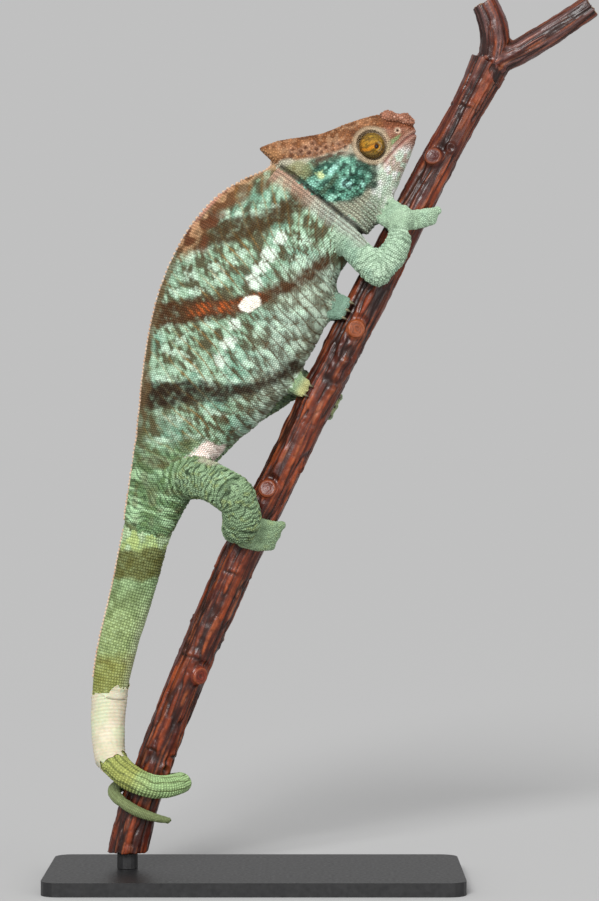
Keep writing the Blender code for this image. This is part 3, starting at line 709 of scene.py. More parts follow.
def sculpt(points, kinds, owners):
    """How far each point of the skin moves out, in millimetres, for folds, lips, nostrils and wrinkles."""
    flat = points[:, [0, 2]]
    moved = (noise(points, 9, 1) - 0.5) * 0.5
    head, trunk = kinds == "head", kinds == "trunk"
    across, along, from_back = crease_frame(*PATHS["trunk"].coordinates(points[trunk]))
    creases = trunk_creases(points[trunk], across, along, from_back)
    moved[trunk] -= creases * (0.2 + 0.5 * ease(25, 60, from_back))

    ahead, along = throat_distance(flat)
    near_head = (head | trunk | (kinds == "limb")) & (along > 0.005) & (along < 0.995) & (flat[:, 1] > 365)
    deep = CREASE_DEPTH * ease(0, 0.15, along) * bell(ahead, 1.0)
    moved[near_head] -= deep[near_head]
    rows = np.cos(ahead / NECK_FOLD * 2 * np.pi)
    in_front = ease(0.8, 2.5, ahead) * ease(24, 12, ahead) * ease(0.42, 0.62, along)
    behind = ease(-0.8, -2.5, ahead) * ease(-16, -8, ahead) * ease(0, 0.25, along)
    moved[head] += (rows * in_front * 0.24)[head]
    moved[trunk] += (rows * behind * 0.22)[trunk]

    mouth, _ = curve_distance(flat, MOUTH_LINE)
    moved[head] -= (0.75 * bell(mouth, 0.7) - 0.3 * bell(mouth - 1.7, 0.8))[head]
    hole = norms(flat - np.array(NOSTRIL))
    moved[head] += (0.4 * bell(hole - 1.6, 0.6) - 1.4 * bell(hole, 0.85))[head]
    eye = eye_distance(points)
    ring = bell(eye - EYE_LID, 0.9) * 0.55 - bell(eye - EYE_GROOVE, 0.6) * 0.5
    folds = 0.22 * np.cos((eye - EYE_LID) / EYE_FOLD * 2 * np.pi)
    ring += folds * ease(14, 10.5, eye) * ease(8.5, 9.5, eye)
    moved[head] += ring[head]

    for name, path in PATHS.items():
        if name in ("trunk", "head"):
            continue
        ours = np.flatnonzero(np.isin(owners, np.flatnonzero(NODE_PATHS == name)))
        if not len(ours):
            continue
        run, angle, reach = path.coordinates(points[ours])
        if name == "tail":
            folds = wrinkles(points[ours], run) * (0.05 + 0.8 * ease(45, 10, run))
        else:
            folds = pebbles(points[ours], run, angle, reach) * np.where(kinds[ours] == "grip", 0.35, 1.0)
        fan, share, deep = fork_folds(points[ours])
        share = share * (name == "tail" or name.endswith("leg"))
        moved[ours] += folds * (1 - share) + fan * share * (0.7 + 0.6 * deep)
    run = PATHS["trunk"].coordinates(points[trunk])[0]
    fan, share, deep = fork_folds(points[trunk])
    level = wrinkles(points[trunk], run) * 0.85 * ease(170, 200, run)
    moved[trunk] += level * (1 - share) + fan * share * (0.7 + 0.6 * deep)
    return moved


# The skin


def drop_islands(mesh):
    """Takes away all but the largest connected part of a mesh."""
    with edited(mesh) as shape:
        left, parts = set(shape.verts), []
        while left:
            part, front = set(), [left.pop()]
            while front:
                corner = front.pop()
                part.add(corner)
                near = {edge.other_vert(corner) for edge in corner.link_edges} & left
                left -= near
                front.extend(near)
            parts.append(part)
        parts.sort(key=len)
        bmesh.ops.delete(shape, geom=[corner for part in parts[:-1] for corner in part], context="VERTS")


def make_skin_mesh():
    tips, webs = digit_balls()
    mesh = fused("skin", NODE_NAMES, SOLIDS_GROW, VOXEL, tips + webs)
    drop_islands(mesh)
    corners, edges = corners_of(mesh), edges_of(mesh)
    steps = np.array([SMOOTHING[kind] for kind in NODE_KINDS], float)[owner_of(corners)]
    steps = smoothed(steps[:, None], edges, 12)[:, 0]
    set_corners(mesh, smoothed(corners, edges, steps))
    return mesh


def cut_finer(mesh):
    """Cuts the faces of the head and of the hands and feet finer, and all faces into triangles."""
    corners = corners_of(mesh)
    kinds = NODE_KINDS[owner_of(corners)]
    is_fine = (kinds == "grip") | ((kinds == "head") & (corners[:, 0] > FINE_HEAD))
    with edited(mesh) as shape:
        chosen = [edge for edge in shape.edges if all(is_fine[corner.index] for corner in edge.verts)]
        bmesh.ops.subdivide_edges(shape, edges=chosen, cuts=1, use_grid_fill=True)
        bmesh.ops.triangulate(shape, faces=shape.faces)


def refined(mesh):
    """Cuts the skin finer where that shows, and brings the fingers' shape back."""
    cut_finer(mesh)
    corners, edges = corners_of(mesh), edges_of(mesh)
    owners = owner_of(corners)
    kinds = NODE_KINDS[owners]
    trees = {number: surface_tree(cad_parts[NODE_NAMES[number]].data) for number in np.unique(owners)}
    tips, webs = digit_balls()
    claws = point_tree(np.vstack([claw_path(grip, bundle, number)[0][-CLAW_STEPS:]
                                  for grip, bundle in BUNDLES for number in range(bundle[0])]))
    thin_tail = (kinds == "tail") & (coordinates_of(corners, owners)[0] > TAIL_KEPT)
    steps = np.select([kinds == "head", kinds == "grip", thin_tail], FINE_STEPS, 0.0)
    in_web = np.zeros(len(corners), bool)
    for centre, radius in webs:
        in_web |= norms(corners - centre) < radius + WEB_EDGE
    for corner in np.flatnonzero(((kinds == "grip") | thin_tail) & ~in_web):
        _, claw_point, distance = claws.find(Vector(corners[corner]))
        if distance < CLAW_ROOM:
            tip, radius = tips[claw_point // CLAW_STEPS]
            corners[corner] = tip + unit(corners[corner] - tip) * radius
            continue
        place, _, _, distance = trees[owners[corner]].find_nearest(Vector(corners[corner]))
        if distance < FINGER_REACH:
            corners[corner] = place
    corners = smoothed(corners, edges, steps)
    set_corners(mesh, corners)
    grips = smoothed((kinds == "grip")[:, None] * 1.0, edges, 10)
    corners = corners + normals_of(mesh) * grips * HAND_GROW
    for tip, radius in tips + webs:
        offset = corners - tip
        distance = norms(offset)
        inside = distance < radius
        corners[inside] = tip + offset[inside] * (radius / distance[inside])[:, None]
    set_corners(mesh, smoothed(corners, edges, np.where(kinds == "grip", 2.0, 0.0)))
    return mesh


SKIN = refined(make_skin_mesh())
SKIN_CORNERS = corners_of(SKIN)
SKIN_OWNERS = owner_of(SKIN_CORNERS)
lift = sculpt(SKIN_CORNERS, NODE_KINDS[SKIN_OWNERS], SKIN_OWNERS) - SOLIDS_GROW - COAT_DEPTH + SKIN_FILL
SKIN_CORNERS = SKIN_CORNERS + normals_of(SKIN) * lift[:, None]
set_corners(SKIN, SKIN_CORNERS)
SKIN_NORMALS = normals_of(SKIN)
SKIN_TREE = surface_tree(SKIN)


# Colours of the skin and its scales


def checks(points, along, across, size, seed):
    """An uneven checker of dark and light patches that follows the rows of scales, from -1.5 to 1.5."""
    wander = (noise(points, 6, seed) - 0.5) * 1.6
    other = (noise(points, 6, seed + 1) - 0.5) * 1.6
    board = np.sin(along / size * np.pi + wander) * np.sin(across / size * np.pi + other)
    return board * 0.7 + (noise(points, size * 1.5, seed + 2) - 0.5) * 1.9


def paint_neck(colours, points):
    """Adds the loose folded skin behind the jaw, and the crease in front of it darkened as painted shade."""
    ahead, place = throat_distance(points[:, [0, 2]])
    rough = noise(points, 5, 29)
    here = (place > 0.002) * (place < 0.999)
    neck = ease(-13, -4, ahead + (rough - 0.5) * 5) * (ahead < 2) * here
    neck_tint = lay(even(points, (204, 166, 144)), (184, 192, 180), ease(0.25, 0.6, place))
    lay(colours, neck_tint, neck * 0.75)
    folds = np.cos((ahead + (rough - 0.5) * 1.2) / NECK_FOLD * 2 * np.pi)
    lay(colours, (98, 84, 70), neck * ease(0.1, -0.9, folds) * 0.65)
    # painted shade deep in the crease behind the jaw
    return lay(colours, (30, 22, 16), bell(ahead, 1.2) * here * 0.95)


def paint_hip(colours, points, level, strength, run):
    """Adds the streaked green of the hips, thigh and tail's root, and the dark of its folds."""
    streaks = noise(np.column_stack([level, points[:, 0] * 0.22, points[:, 1] * 0.22]), 2.2, 30)
    green = lay(even(points, (102, 132, 84)), (172, 208, 160), ease(0.45, 0.72, streaks))
    lay(green, (104, 84, 52), ease(0.55, 0.75, noise(points, 5, 32)) * 0.45)
    lay(colours, green, strength * 0.85)
    fan, share, deep = fork_folds(points)
    folds = wrinkles(points, run) * (1 - share) + fan * share
    lay(colours, (42, 58, 34), strength * ease(0.12, -0.4, folds) * (0.72 + 0.2 * deep))


def paint_trunk(points, run, angle, reach):
    flat = points[:, [0, 2]]
    x, z = flat.T
    rough, fine, coarse = noise(points, 5, 21), noise(points, 1.7, 22), noise(points, 12, 24)
    ragged, frayed = rough - 0.5, fine - 0.5
    across, along, from_back = crease_frame(run, angle, reach)
    grid = np.column_stack([across, along * 0.62, points[:, 1] * 0.3])
    mottle = noise(grid, 3.6, 25) * 0.52 + noise(grid, 1.7, 26) * 0.48
    board = checks(points, run, along, 1.5, 31)
    belly = ease(52, 78, from_back + ragged * 8)

    colours = lay(even(points, MINT), TURQUOISE, ease(0.35, 0.75, coarse) * 0.6)
    lay(colours, PALE_MINT, ease(0.50, 0.74, mottle) * (0.5 + 0.25 * belly))
    lay(colours, LILAC, belly * 0.5)
    dark = ease(0.58, 0.36, mottle + (coarse - 0.5) * 0.18) * (0.86 - 0.22 * belly)
    lay(colours, UMBER, dark)

    torn = (noise(grid, 1.6, 28) - 0.5) * 1.5
    for oval in PALE_BLOTCHES:
        lay_oval(colours, flat, oval, PALE_MINT, 0.85, torn, (0, 0.6), 1.15)
    for oval in PALE_BLOCKS:
        lay_oval(colours, flat, oval, (236, 252, 236), 0.95, torn * 0.7, size=1.1)
    net = ease(0, 0.8, board) * ease(60, 30, from_back)
    lay(colours, (78, 76, 48), net * 0.6)

    edge = ragged * 3.0 + frayed * 1.6
    banded = np.zeros(len(points))
    for line, wide, narrow, tint in BANDS:
        distance, place = curve_distance(flat, line)
        width = wide + (narrow - wide) * ease(0.15, 0.75, place)
        inside = ease(width + 2.6, width - 2.2, distance + edge)
        lay(colours, tint, inside * (0.96 - 0.24 * ease(0.35, 0.9, fine)))
        banded = np.maximum(banded, inside)
    below = ease(10, 2, np.abs(z - 272 - 0.1 * x + edge)) * ease(40, 10, from_back)
    lay(colours, (92, 78, 44), below * 0.45)

    brown = ease(17, 8, from_back + ragged * 14)
    brown *= ease(4, 14, run) * ease(78, 60, run)
    brown_tint = lay(even(points, (118, 78, 44)), (198, 152, 112), ease(0.52, 0.68, rough))
    lay(brown_tint, (96, 46, 22), ease(34, 50, run) * ease(0.6, 0.4, rough) * 0.7)
    lay(colours, brown_tint, brown * 0.88)
    edging = ease(7, 3, from_back + ragged * 4)
    edging *= ease(60, 75, run) * ease(190, 150, run)
    lay(colours, (108, 84, 52), edging * 0.75)
    nape = ease(5, 2, from_back) * ease(60, 44, run)
    nape = np.maximum(nape, ease(16, 8, from_back + ragged * 4) * ease(16, 6, run))
    lay(colours, (220, 160, 136), nape * 0.9)

    distance, place = curve_distance(flat, BAND_B)
    core = ease(4.6, 2.0, distance) * ease(0.2, 0.3, place) * ease(0.68, 0.6, place)
    strokes = np.cos(across / STROKE_SPACING * 2 * np.pi) + (noise(grid, 2.4, 27) - 0.5) * 2.6
    lay(colours, (112, 58, 24), core * 0.6)
    lay(colours, RUST, core * ease(0.3, 0.9, strokes) * 0.9)

    creases = trunk_creases(points, across, along, from_back)
    tint = lay(even(points, OCHRE), (92, 68, 38), ease(26, 52, from_back))
    strength = (0.30 + 0.6 * ease(12, 40, from_back)) * (1 - 0.75 * banded)
    lay(colours, tint, creases * strength)
    lay_oval(colours, flat, SPOT, CREAM, 1, ragged * 0.45 + frayed * 0.25, (0, 0.1))
    groin = blotch(flat, GROIN, ragged * 0.6 + frayed * 0.3)
    lay(colours, GROIN_PINK, ease(0, 0.4, groin))

    paint_neck(colours, points)
    thigh = norms(flat - THIGH) + ragged * 6
    hip = np.maximum(ease(166, 198, run + ragged * 16), ease(26, 14, thigh))
    hip *= ease(70, 50, from_back)
    paint_hip(colours, points, run, hip * (1 - ease(0, 0.2, groin)), run)
    colours *= (1 + 0.12 * hip * ease(236, 222, z))[:, None]
    # painted shadow, in brown, along the thigh's root where it meets the body
    lay_oval(colours, flat, GROIN_SHADE, (92, 72, 44), 0.5, ragged * 0.8 + frayed * 0.4)
    return colours * (0.9 + 0.2 * fine)[:, None]


def paint_tail(points, run, angle):
    rough, fine = noise(points, 5, 41), noise(points, 1.8, 42)
    board = checks(points, run, angle * 9, 1.7, 43)
    ragged = (rough - 0.5) * 8 + (fine - 0.5) * 3
    level = points[:, 2] + ragged * 0.5
    colours = lay(even(points, (136, 164, 118)), TAIL_GREEN, ease(20, 60, run))
    lay(colours, (186, 212, 160), ease(0.1, 0.7, board) * 0.4)
    lay(colours, (84, 104, 62), ease(0.1, 0.7, -board) * 0.45)
    lay(colours, (98, 112, 66), ease(0.5, 0.7, noise(points, 6, 46)) * 0.5)
    mint = ease(190, 194, level) * ease(216, 208, level)
    lay(colours, (190, 208, 130), mint * ease(0.4, 0.7, noise(points, 4, 47)) * 0.7)
    lay(colours, (202, 226, 182), mint * ease(0.6, 0.3, noise(points, 4, 47)) * 0.7)
    upper = ease(203, 212, level)
    paint_hip(colours, points, points[:, 2], upper, run)
    colours *= (1 + 0.12 * upper)[:, None]
    hanging = run < 140
    first = ease(174, 178, level) * ease(195, 191, level)
    last = ease(104, 110, level) * ease(135, 128, level)
    lay(colours, (92, 86, 30), hanging * first * (0.88 - 0.2 * fine))
    lay(colours, (140, 138, 62), hanging * last * (0.75 - 0.25 * fine))
    lay(colours, (104, 96, 40), hanging * last * ease(0.55, 0.75, rough) * 0.5)
    pale_edge = ease(1.9, 2.8, np.abs(angle) + (rough - 0.5) * 0.5) * hanging * ease(25, 60, run)
    lay(colours, (200, 210, 180), pale_edge * 0.35)
    coil = ease(112, 124, run)
    lay(colours, (166, 172, 92), coil * ease(172, 154, run + (rough - 0.5) * 10) * 0.85)
    lay(colours, (164, 196, 138), coil * ease(154, 172, run + (rough - 0.5) * 10) * 0.8)
    lines = np.abs((angle / np.pi * 5 + noise(points, 9, 44) * 0.8) % 1 - 0.5) * 2
    lay(colours, (80, 90, 48), coil * ease(0.3, 0.08, lines) * 0.85)
    lay(colours, (112, 116, 78), ease(205, 250, run) * 0.75)
    return colours * (0.88 + 0.24 * fine)[:, None]


def paint_limb(points, run, angle, reach, grip, leg):
    rough, fine = noise(points, 5, 51), noise(points, 1.6, 52)
    pale = lay(even(points, (206, 232, 204)), (176, 206, 166), leg)
    colours = lay(even(points, LIMB_GREEN), LEG_GREEN, leg)
    lay(colours, pale, ease(0.5, 0.85, rough) * 0.5)
    wrinkle = noise(np.column_stack([run * 2.6, angle * 2.2, run * 0]), 3.4, 53)
    lay(colours, LIMB_DARK, ease(0.52, 0.78, wrinkle) * (0.3 + 0.2 * leg))
    lay(colours, (150, 160, 90), ease(0.6, 0.75, noise(points, 2.2, 55)) * 0.5 * leg)
    pebbly = pebbles(points, run, angle, reach)
    lay(colours, LIMB_DARK, ease(0, -0.45, pebbly) * (0.5 + 0.35 * leg) * (1 - 0.4 * grip))
    lay(colours, LEG_DARK, ease(-0.15, -0.6, pebbly) * leg * (1 - grip) * 0.8)
    lay(colours, (140, 180, 160), ease(0.5, 0.8, noise(points, 9, 54)) * 0.35 * (1 - leg))
    lay(colours, (178, 206, 174), grip * (1 - leg) * 0.5)
    lay(colours, (160, 186, 148), grip * leg * 0.5)
    root = ease(20, 6, run + (rough - 0.5) * 10) * leg
    paint_hip(colours, points, run, root, run)
    flat, near = points[:, [0, 2]], leg * (1 - grip) * (points[:, 1] < 0)
    lay_oval(colours, flat, LEG_GROIN, (226, 206, 190), 0.4 * near, (rough - 0.5) * 0.6)
    # the far hand darker blue-green: partly its own tone, partly painted shade
    lay_oval(colours, flat, FAR_HAND, (112, 146, 130), 0.75 * grip * (1 - leg), edge=(0, 0.4))
    lay_oval(colours, flat, FAR_FOOT, (196, 188, 126), 0.75 * grip * leg, edge=(0, 0.4))
    shoulder = (points[:, 2] > 366) & (grip < 0.5)
    colours[shoulder] = paint_neck(colours[shoulder], points[shoulder])
    return colours * (0.88 + 0.24 * fine)[:, None]


# Bright spots on the temple: x, z, half length, half width, degrees from level, colour
TEMPLE_SPOTS = (
    (37.6, 408.7, 3.2, 2.8, 0, (222, 236, 172)), (45.6, 412.1, 4.2, 2.2, 50, (176, 232, 216)),
    (53.0, 403.0, 4.0, 2.8, -10, (186, 250, 236)), (62.2, 403.0, 3.4, 2.2, 45, (176, 240, 222)),
    (43.9, 396.1, 4.0, 2.8, 10, (168, 226, 204)), (33.0, 403.6, 4.8, 3.0, 20, (150, 208, 188)),
    (52, 397, 3.4, 1.8, 20, (120, 186, 164)), (41, 416, 4, 1.6, 0, (140, 186, 160)),
    (60, 410, 3, 1.8, 60, (110, 170, 150)),
)
# The lower edge of the crown's brown, and the pits in it, in x and z
CROWN_LINE = ((0, 421), (12, 416.5), (26, 418), (37.5, 419.5), (49, 422.5), (58, 427), (68, 435), (95, 436))
CROWN_PITS = ((22, 423.6), (26.5, 422.4), (29.5, 424.6), (31.5, 421.2), (35.5, 423.6), (38.5, 421.4),
              (41, 424.6), (45, 422.6), (33, 427), (48, 426), (52, 424.2))


def paint_head(points):
    flat = points[:, [0, 2]]
    x, z = flat.T
    rough, fine, grain = noise(points, 4.5, 61), noise(points, 1.5, 62), noise(points, 2.6, 63)
    ragged, frayed = rough - 0.5, fine - 0.5
    ahead, along = throat_distance(flat)
    colours = even(points, (190, 186, 164))

    jaw_edge = np.interp(z, [372, 385, 400, 411, 420], [58, 61, 67, 69, 73])
    jaw = ease(-3, 3, x - jaw_edge + ragged * 4)
    streaks = noise(points * np.array([1.6, 1, 0.6]), 2.6, 67)
    jaw_tint = lay(even(points, (214, 228, 208)), (255, 255, 250), ease(0.35, 0.7, streaks))
    lay(jaw_tint, (186, 220, 194), ease(0.5, 0.8, noise(points, 6, 68)) * 0.5)
    lay(jaw_tint, (148, 168, 146), ease(404, 388, z) * 0.65)
    lay(colours, jaw_tint, jaw)
    blush = ease(402, 416, z + ragged * 8) * ease(0.4, 0.62, grain) * jaw
    lay(colours, (176, 124, 108), blush * 0.6)

    temple = blotch(flat, TEMPLE, ragged * 0.25)
    inside = ease(-0.06, 0.16, temple)
    base = lay(even(points, (98, 152, 130)), (44, 88, 72), ease(0.4, 0.7, noise(points, 6, 64)))
    lay(base, (152, 216, 190), ease(0.52, 0.75, grain) * 0.8)
    lay(colours, base, inside)
    torn = (grain - 0.5) * 1.3 + frayed * 0.7
    for *oval, tint in TEMPLE_SPOTS:
        lay_oval(colours, flat, oval, tint, 0.9, torn, (-0.1, 0.6))
    shade, _ = curve_distance(flat, ((47.3, 407.5), (43, 403), (38.7, 398.4)))
    lay(colours, (62, 66, 40), ease(2.4, 0.8, shade + frayed) * 0.7)
    specks = ease(0.56, 0.68, noise(points, 1.9, 65)) * inside
    lay(colours, (30, 52, 42), specks * 0.85 * ease(0.2, 0.5, noise(points, 7, 69)))
    rim = ease(0.34, 0.08, temple) * ease(-0.12, 0.04, temple) * ease(50, 58, x)
    lay(colours, (40, 56, 42), rim * 0.85 * ease(0.25, 0.5, grain))
    green = blotch(flat, CHEEK, ragged * 0.5)
    lay(colours, (146, 148, 104), ease(0, 0.5, green) * 0.8)
    lay(colours, (128, 118, 74), ease(0.3, 0.6, green) * ease(0.5, 0.7, grain) * 0.6)

    line = np.array(CROWN_LINE, float)
    above = z - np.interp(x, line[:, 0], line[:, 1]) + ragged * 2.4
    brown = lay(even(points, (138, 88, 52)), (172, 120, 82), ease(0.45, 0.75, rough))
    lay(brown, (96, 56, 32), ease(0.5, 0.7, noise(points, 3.0, 66)) * 0.65 * ease(84, 70, x))
    mottled = bell(above + 1.8, 3.0) * ease(30, 36, x) * ease(63, 60, x)
    lay(colours, (84, 60, 42), mottled * (0.3 + 0.65 * ease(0.4, 0.6, grain)))
    lay(brown, (104, 66, 40), ease(0.55, 0.72, noise(points, 1.7, 70)) * 0.55)
    lay(brown, (200, 156, 118), ease(0.62, 0.8, noise(points, 2.4, 71)) * 0.5)
    meshes = ease(0.09, 0.02, np.abs(noise(points, 2.8, 72) - 0.5)) * ease(7, 4, above)
    lay(brown, (84, 48, 30), meshes * ease(10, 20, x) * ease(62, 54, x) * 0.7)
    lay(colours, brown, ease(-1.2, 1.2, above))
    # Each crown pit gets a painted highlight round its rim, and a dark brown dot
    for x0, z0 in CROWN_PITS:
        pit = np.hypot(x - x0, z - z0)
        lay(colours, (204, 158, 128), bell(pit - 1.7, 0.6) * 0.4)
        lay(colours, (84, 48, 32), ease(1.7, 0.5, pit + frayed) * 0.75)
    snout = ease(70, 77, x) * ease(422, 429, z + ragged * 3)
    lay(colours, lay(even(points, (160, 94, 64)), (122, 70, 46), grain), snout * 0.9)
    lay_oval(colours, flat, CASQUE_TIP, (184, 136, 92), 0.75)
    for oval in SNOUT_STREAKS:
        lay_oval(colours, flat, oval, (140, 168, 118), 0.75, frayed * 0.5)

    eye = eye_distance(points)
    lay(colours, (192, 170, 140), ease(12.2, 10.4, eye) * 0.8)
    lay(colours, (110, 88, 60), bell(eye - 8.3, 0.5) * 0.7)
    lay(colours, (134, 110, 82), bell(eye - 11.4, 0.5) * 0.4)

    mouth, place = curve_distance(flat, MOUTH_LINE)
    fading = ease(1.0, 0.75, place)
    lay(colours, (206, 168, 150), ease(3.2, 0.8, mouth) * 0.6 * fading)
    lay(colours, (134, 66, 58), bell(mouth, 0.7) * 0.75 * fading)
    hole = norms(flat - np.array(NOSTRIL))
    lay(colours, (228, 202, 176), bell(hole - 1.3, 0.6) * 0.8)
    # painted shade inside the nostril
    lay(colours, (60, 40, 34), ease(0.9, 0.5, hole))

    throat = ease(24, 12, ahead) * ease(0.45, 0.62, along) * (1 - inside)
    lay(colours, (176, 186, 164), throat * 0.6)
    rows = np.cos((ahead + ragged * 1.5) / NECK_FOLD * 2 * np.pi)
    lay(colours, (112, 96, 78), throat * ease(0, -0.9, rows) * 0.6)
    # painted shade in the crease behind the jaw
    lay(colours, (34, 26, 18), bell(ahead, 1.1) * (along > 0.01) * 0.9)
    return colours * (0.9 + 0.2 * fine)[:, None]


def painted(points, owners):
    """Linear colours of points on the skin or its scales."""
    run, angle, reach = coordinates_of(points, owners)
    kinds = NODE_KINDS[owners]
    colours = np.zeros((len(points), 3))
    ours = kinds == "trunk"
    colours[ours] = paint_trunk(points[ours], run[ours], angle[ours], reach[ours])
    ours = kinds == "tail"
    colours[ours] = paint_tail(points[ours], run[ours], angle[ours])
    ours = kinds == "head"
    colours[ours] = paint_head(points[ours])
    ours = (kinds == "limb") | (kinds == "grip")
    is_leg = np.char.endswith(NODE_PATHS[owners[ours]], "leg").astype(float)
    is_grip = (kinds[ours] == "grip").astype(float)
    colours[ours] = paint_limb(points[ours], run[ours], angle[ours], reach[ours], is_grip, is_leg)
    return np.clip(colours, 0, 1)


# Materials


class Nodes:
    """Short ways to make one material."""

    def __init__(self, name, roughness, metallic=0.0, specular=0.5):
        self.material = bpy.data.materials.new(name)
        self.material.use_nodes = True
        self.tree = self.material.node_tree
        self.place = None
        self.feed("Roughness", roughness)
        self.feed("Metallic", metallic)
        self.feed("Specular IOR Level", specular)

    def add(self, kind, **settings):
        return tuned(self.tree.nodes.new(kind), **settings)

    def feed(self, socket, value):
        """Gives one of the shader's sockets a number, a colour or another node's output."""
        socket = self.tree.nodes["Principled BSDF"].inputs[socket]
        if isinstance(value, bpy.types.NodeSocket):
            self.tree.links.new(value, socket)
        else:
            socket.default_value = value

    def markings(self):
        return self.add("ShaderNodeVertexColor", layer_name="Markings").outputs["Color"]

    def noise(self, scale, detail):
        if self.place is None:
            self.place = self.add("ShaderNodeTexCoord").outputs["Object"]
        node = self.add("ShaderNodeTexNoise")
        for name, value in (("Scale", scale), ("Detail", detail), ("Roughness", 0.55)):
            node.inputs[name].default_value = value
        self.tree.links.new(self.place, node.inputs["Vector"])
        return node.outputs["Fac"]

    def uneven(self, scale, detail, low, high):
        """A value or colour that goes from low to high with the noise."""
        node = self.add("ShaderNodeValToRGB")
        for stop, where, value in zip(node.color_ramp.elements, (0.3, 0.7), (low, high)):
            stop.position = where
            stop.color = (*np.broadcast_to(value, 3), 1)
        self.tree.links.new(self.noise(scale, detail), node.inputs["Fac"])
        return node.outputs["Color"]

    def grained_markings(self, scale, detail, low):
        """The painted colours with a fine grain."""
        node = self.add("ShaderNodeMix", data_type="RGBA", blend_type="MULTIPLY")
        node.inputs[0].default_value = 1.0
        self.tree.links.new(self.markings(), node.inputs[6])
        self.tree.links.new(self.uneven(scale, detail, low, 1.0), node.inputs[7])
        self.feed("Base Color", node.outputs[2])

    def bump(self, scale, detail, strength, distance):
        node = self.add("ShaderNodeBump")
        node.inputs["Strength"].default_value = strength
        node.inputs["Distance"].default_value = distance * MM
        self.tree.links.new(self.noise(scale, detail), node.inputs["Height"])
        self.feed("Normal", node.outputs["Normal"])


def scaly_material(name, roughness):
    """Skin or scales: the painted colours with a fine grain."""
    nodes = Nodes(name, roughness, specular=0.2)
    nodes.grained_markings(1400, 3, 0.82)
    nodes.feed("Roughness", nodes.uneven(260, 2, roughness - 0.07, roughness + 0.1))
    nodes.bump(2600, 3, 0.35, 0.12)
    return nodes.material


def glossy_material(name, roughness, specular, **sockets):
    """The painted colours on a smooth surface, with numbers for the shader's other sockets."""
    nodes = Nodes(name, roughness, specular=specular)
    nodes.feed("Base Color", nodes.markings())
    for socket, value in sockets.items():
        nodes.feed(socket.replace("_", " "), value)
    return nodes


SKIN_MATERIAL = scaly_material("chameleon_skin", 0.6)
SCALE_MATERIAL = scaly_material("chameleon_scales", 0.54)
EYEBALL_MATERIAL = glossy_material("eyeball", 0.12, 0.3, Coat_Weight=0.3, Coat_Roughness=0.05).material

# the skin's colours darkened, partly as painted shade between the scales
give_colours(SKIN, painted(SKIN_CORNERS, SKIN_OWNERS) * SKIN_GAP_SHADE)
link(SKIN, SKIN_MATERIAL, NODE_NAMES)


# The coat of scales


SCALE_GRID = 3.0  # cell of the search grid
ROW_PITCH = {"trunk": 1.45, "tail": 1.62, "limb": 1.3, "grip": 1.06}
RAYS = 72  # round a ring
RING_NEAR, HEAD_NEAR, HEAD_TRIES = 0.62, 0.87, 8.0
# Scales between the rings: kind, tries in a square millimetre, least distance as a share of the pitch
FILLERS = (("grip", 18.0, 0.82), ("trunk", 4.5, 0.8), ("limb", 4.5, 0.8), ("tail", 4.5, 0.8))
SCALE_HEIGHT = 0.27  # as a share of the pitch


class Crowd:
    """Scales that have found a place, so that the next ones keep their distance."""

    def __init__(self):
        self.cells = {}

    def admits(self, place, spacing):
        """Adds the place and says yes, unless another is nearer than the spacing."""
        near = spacing * spacing
        x, y, z = place
        spans = [range(int((value - spacing) // SCALE_GRID), int((value + spacing) // SCALE_GRID) + 1)
                 for value in place]
        for cell in product(*spans):
            for a, b, c in self.cells.get(cell, ()):
                if (a - x) ** 2 + (b - y) ** 2 + (c - z) ** 2 < near:
                    return False
        self.cells.setdefault(tuple(int(value // SCALE_GRID) for value in place), []).append(place)
        return True


FACE_CORNERS = triangles_of(SKIN)
FACE_OWNERS = SKIN_OWNERS[FACE_CORNERS[:, 0]]


def ring_places(path, pitch_at, staggered):
    """Places for scales in rings round a path, and the pitch there."""
    turns = np.linspace(0, 2 * np.pi, RAYS + 1)[:-1]
    where, number, places, pitches = 0.5, 0, [], []
    while where < path.length:
        pitch = pitch_at(where)
        hits = [path.ray(where, turn) for turn in turns]
        if all(hit[0] is not None for hit in hits):
            middle, _, up, side = path.at(where)
            reaches = np.array([hit[3] for hit in hits])
            edge = middle + (np.cos(turns)[:, None] * up + np.sin(turns)[:, None] * side) * reaches[:, None]
            closed = np.vstack([edge, edge[:1]])
            run = lengths_along(closed)
            count = max(6, int(round(run[-1] / pitch)))
            shift = 0.5 * (number % 2) if staggered else 0.0
            places.append(interpolated((np.arange(count) + shift) * run[-1] / count, run, closed))
            pitches.append(np.full(count, pitch))
        where += pitch * (0.87 if staggered else 1.0)
        number += 1
    return np.vstack(places), np.concatenate(pitches)


def head_pitch(points):
    """Distance between scales on the head: large on the casque and temple, small at the lips and eyes."""
    x, z = points[:, 0], points[:, 2]
    crown_line = np.interp(x, *np.array(CROWN_LINE, float).T)
    pitch = np.where(z > crown_line, 1.7, 1.35)
    pitch = pitch + 0.2 * ease(0, 0.3, blotch(points[:, [0, 2]], TEMPLE))
    eye = eye_distance(points)
    pitch = np.where(eye < 11.5, 0.95, pitch)
    pitch = np.where((x > 74) & (z < crown_line), 1.2, pitch)
    mouth, _ = curve_distance(points[:, [0, 2]], MOUTH_LINE)
    return np.where(mouth < 2.0, 1.0, pitch)


def tail_pitch(run):
    return ROW_PITCH["tail"] - 0.75 * ease(120, 300, run)


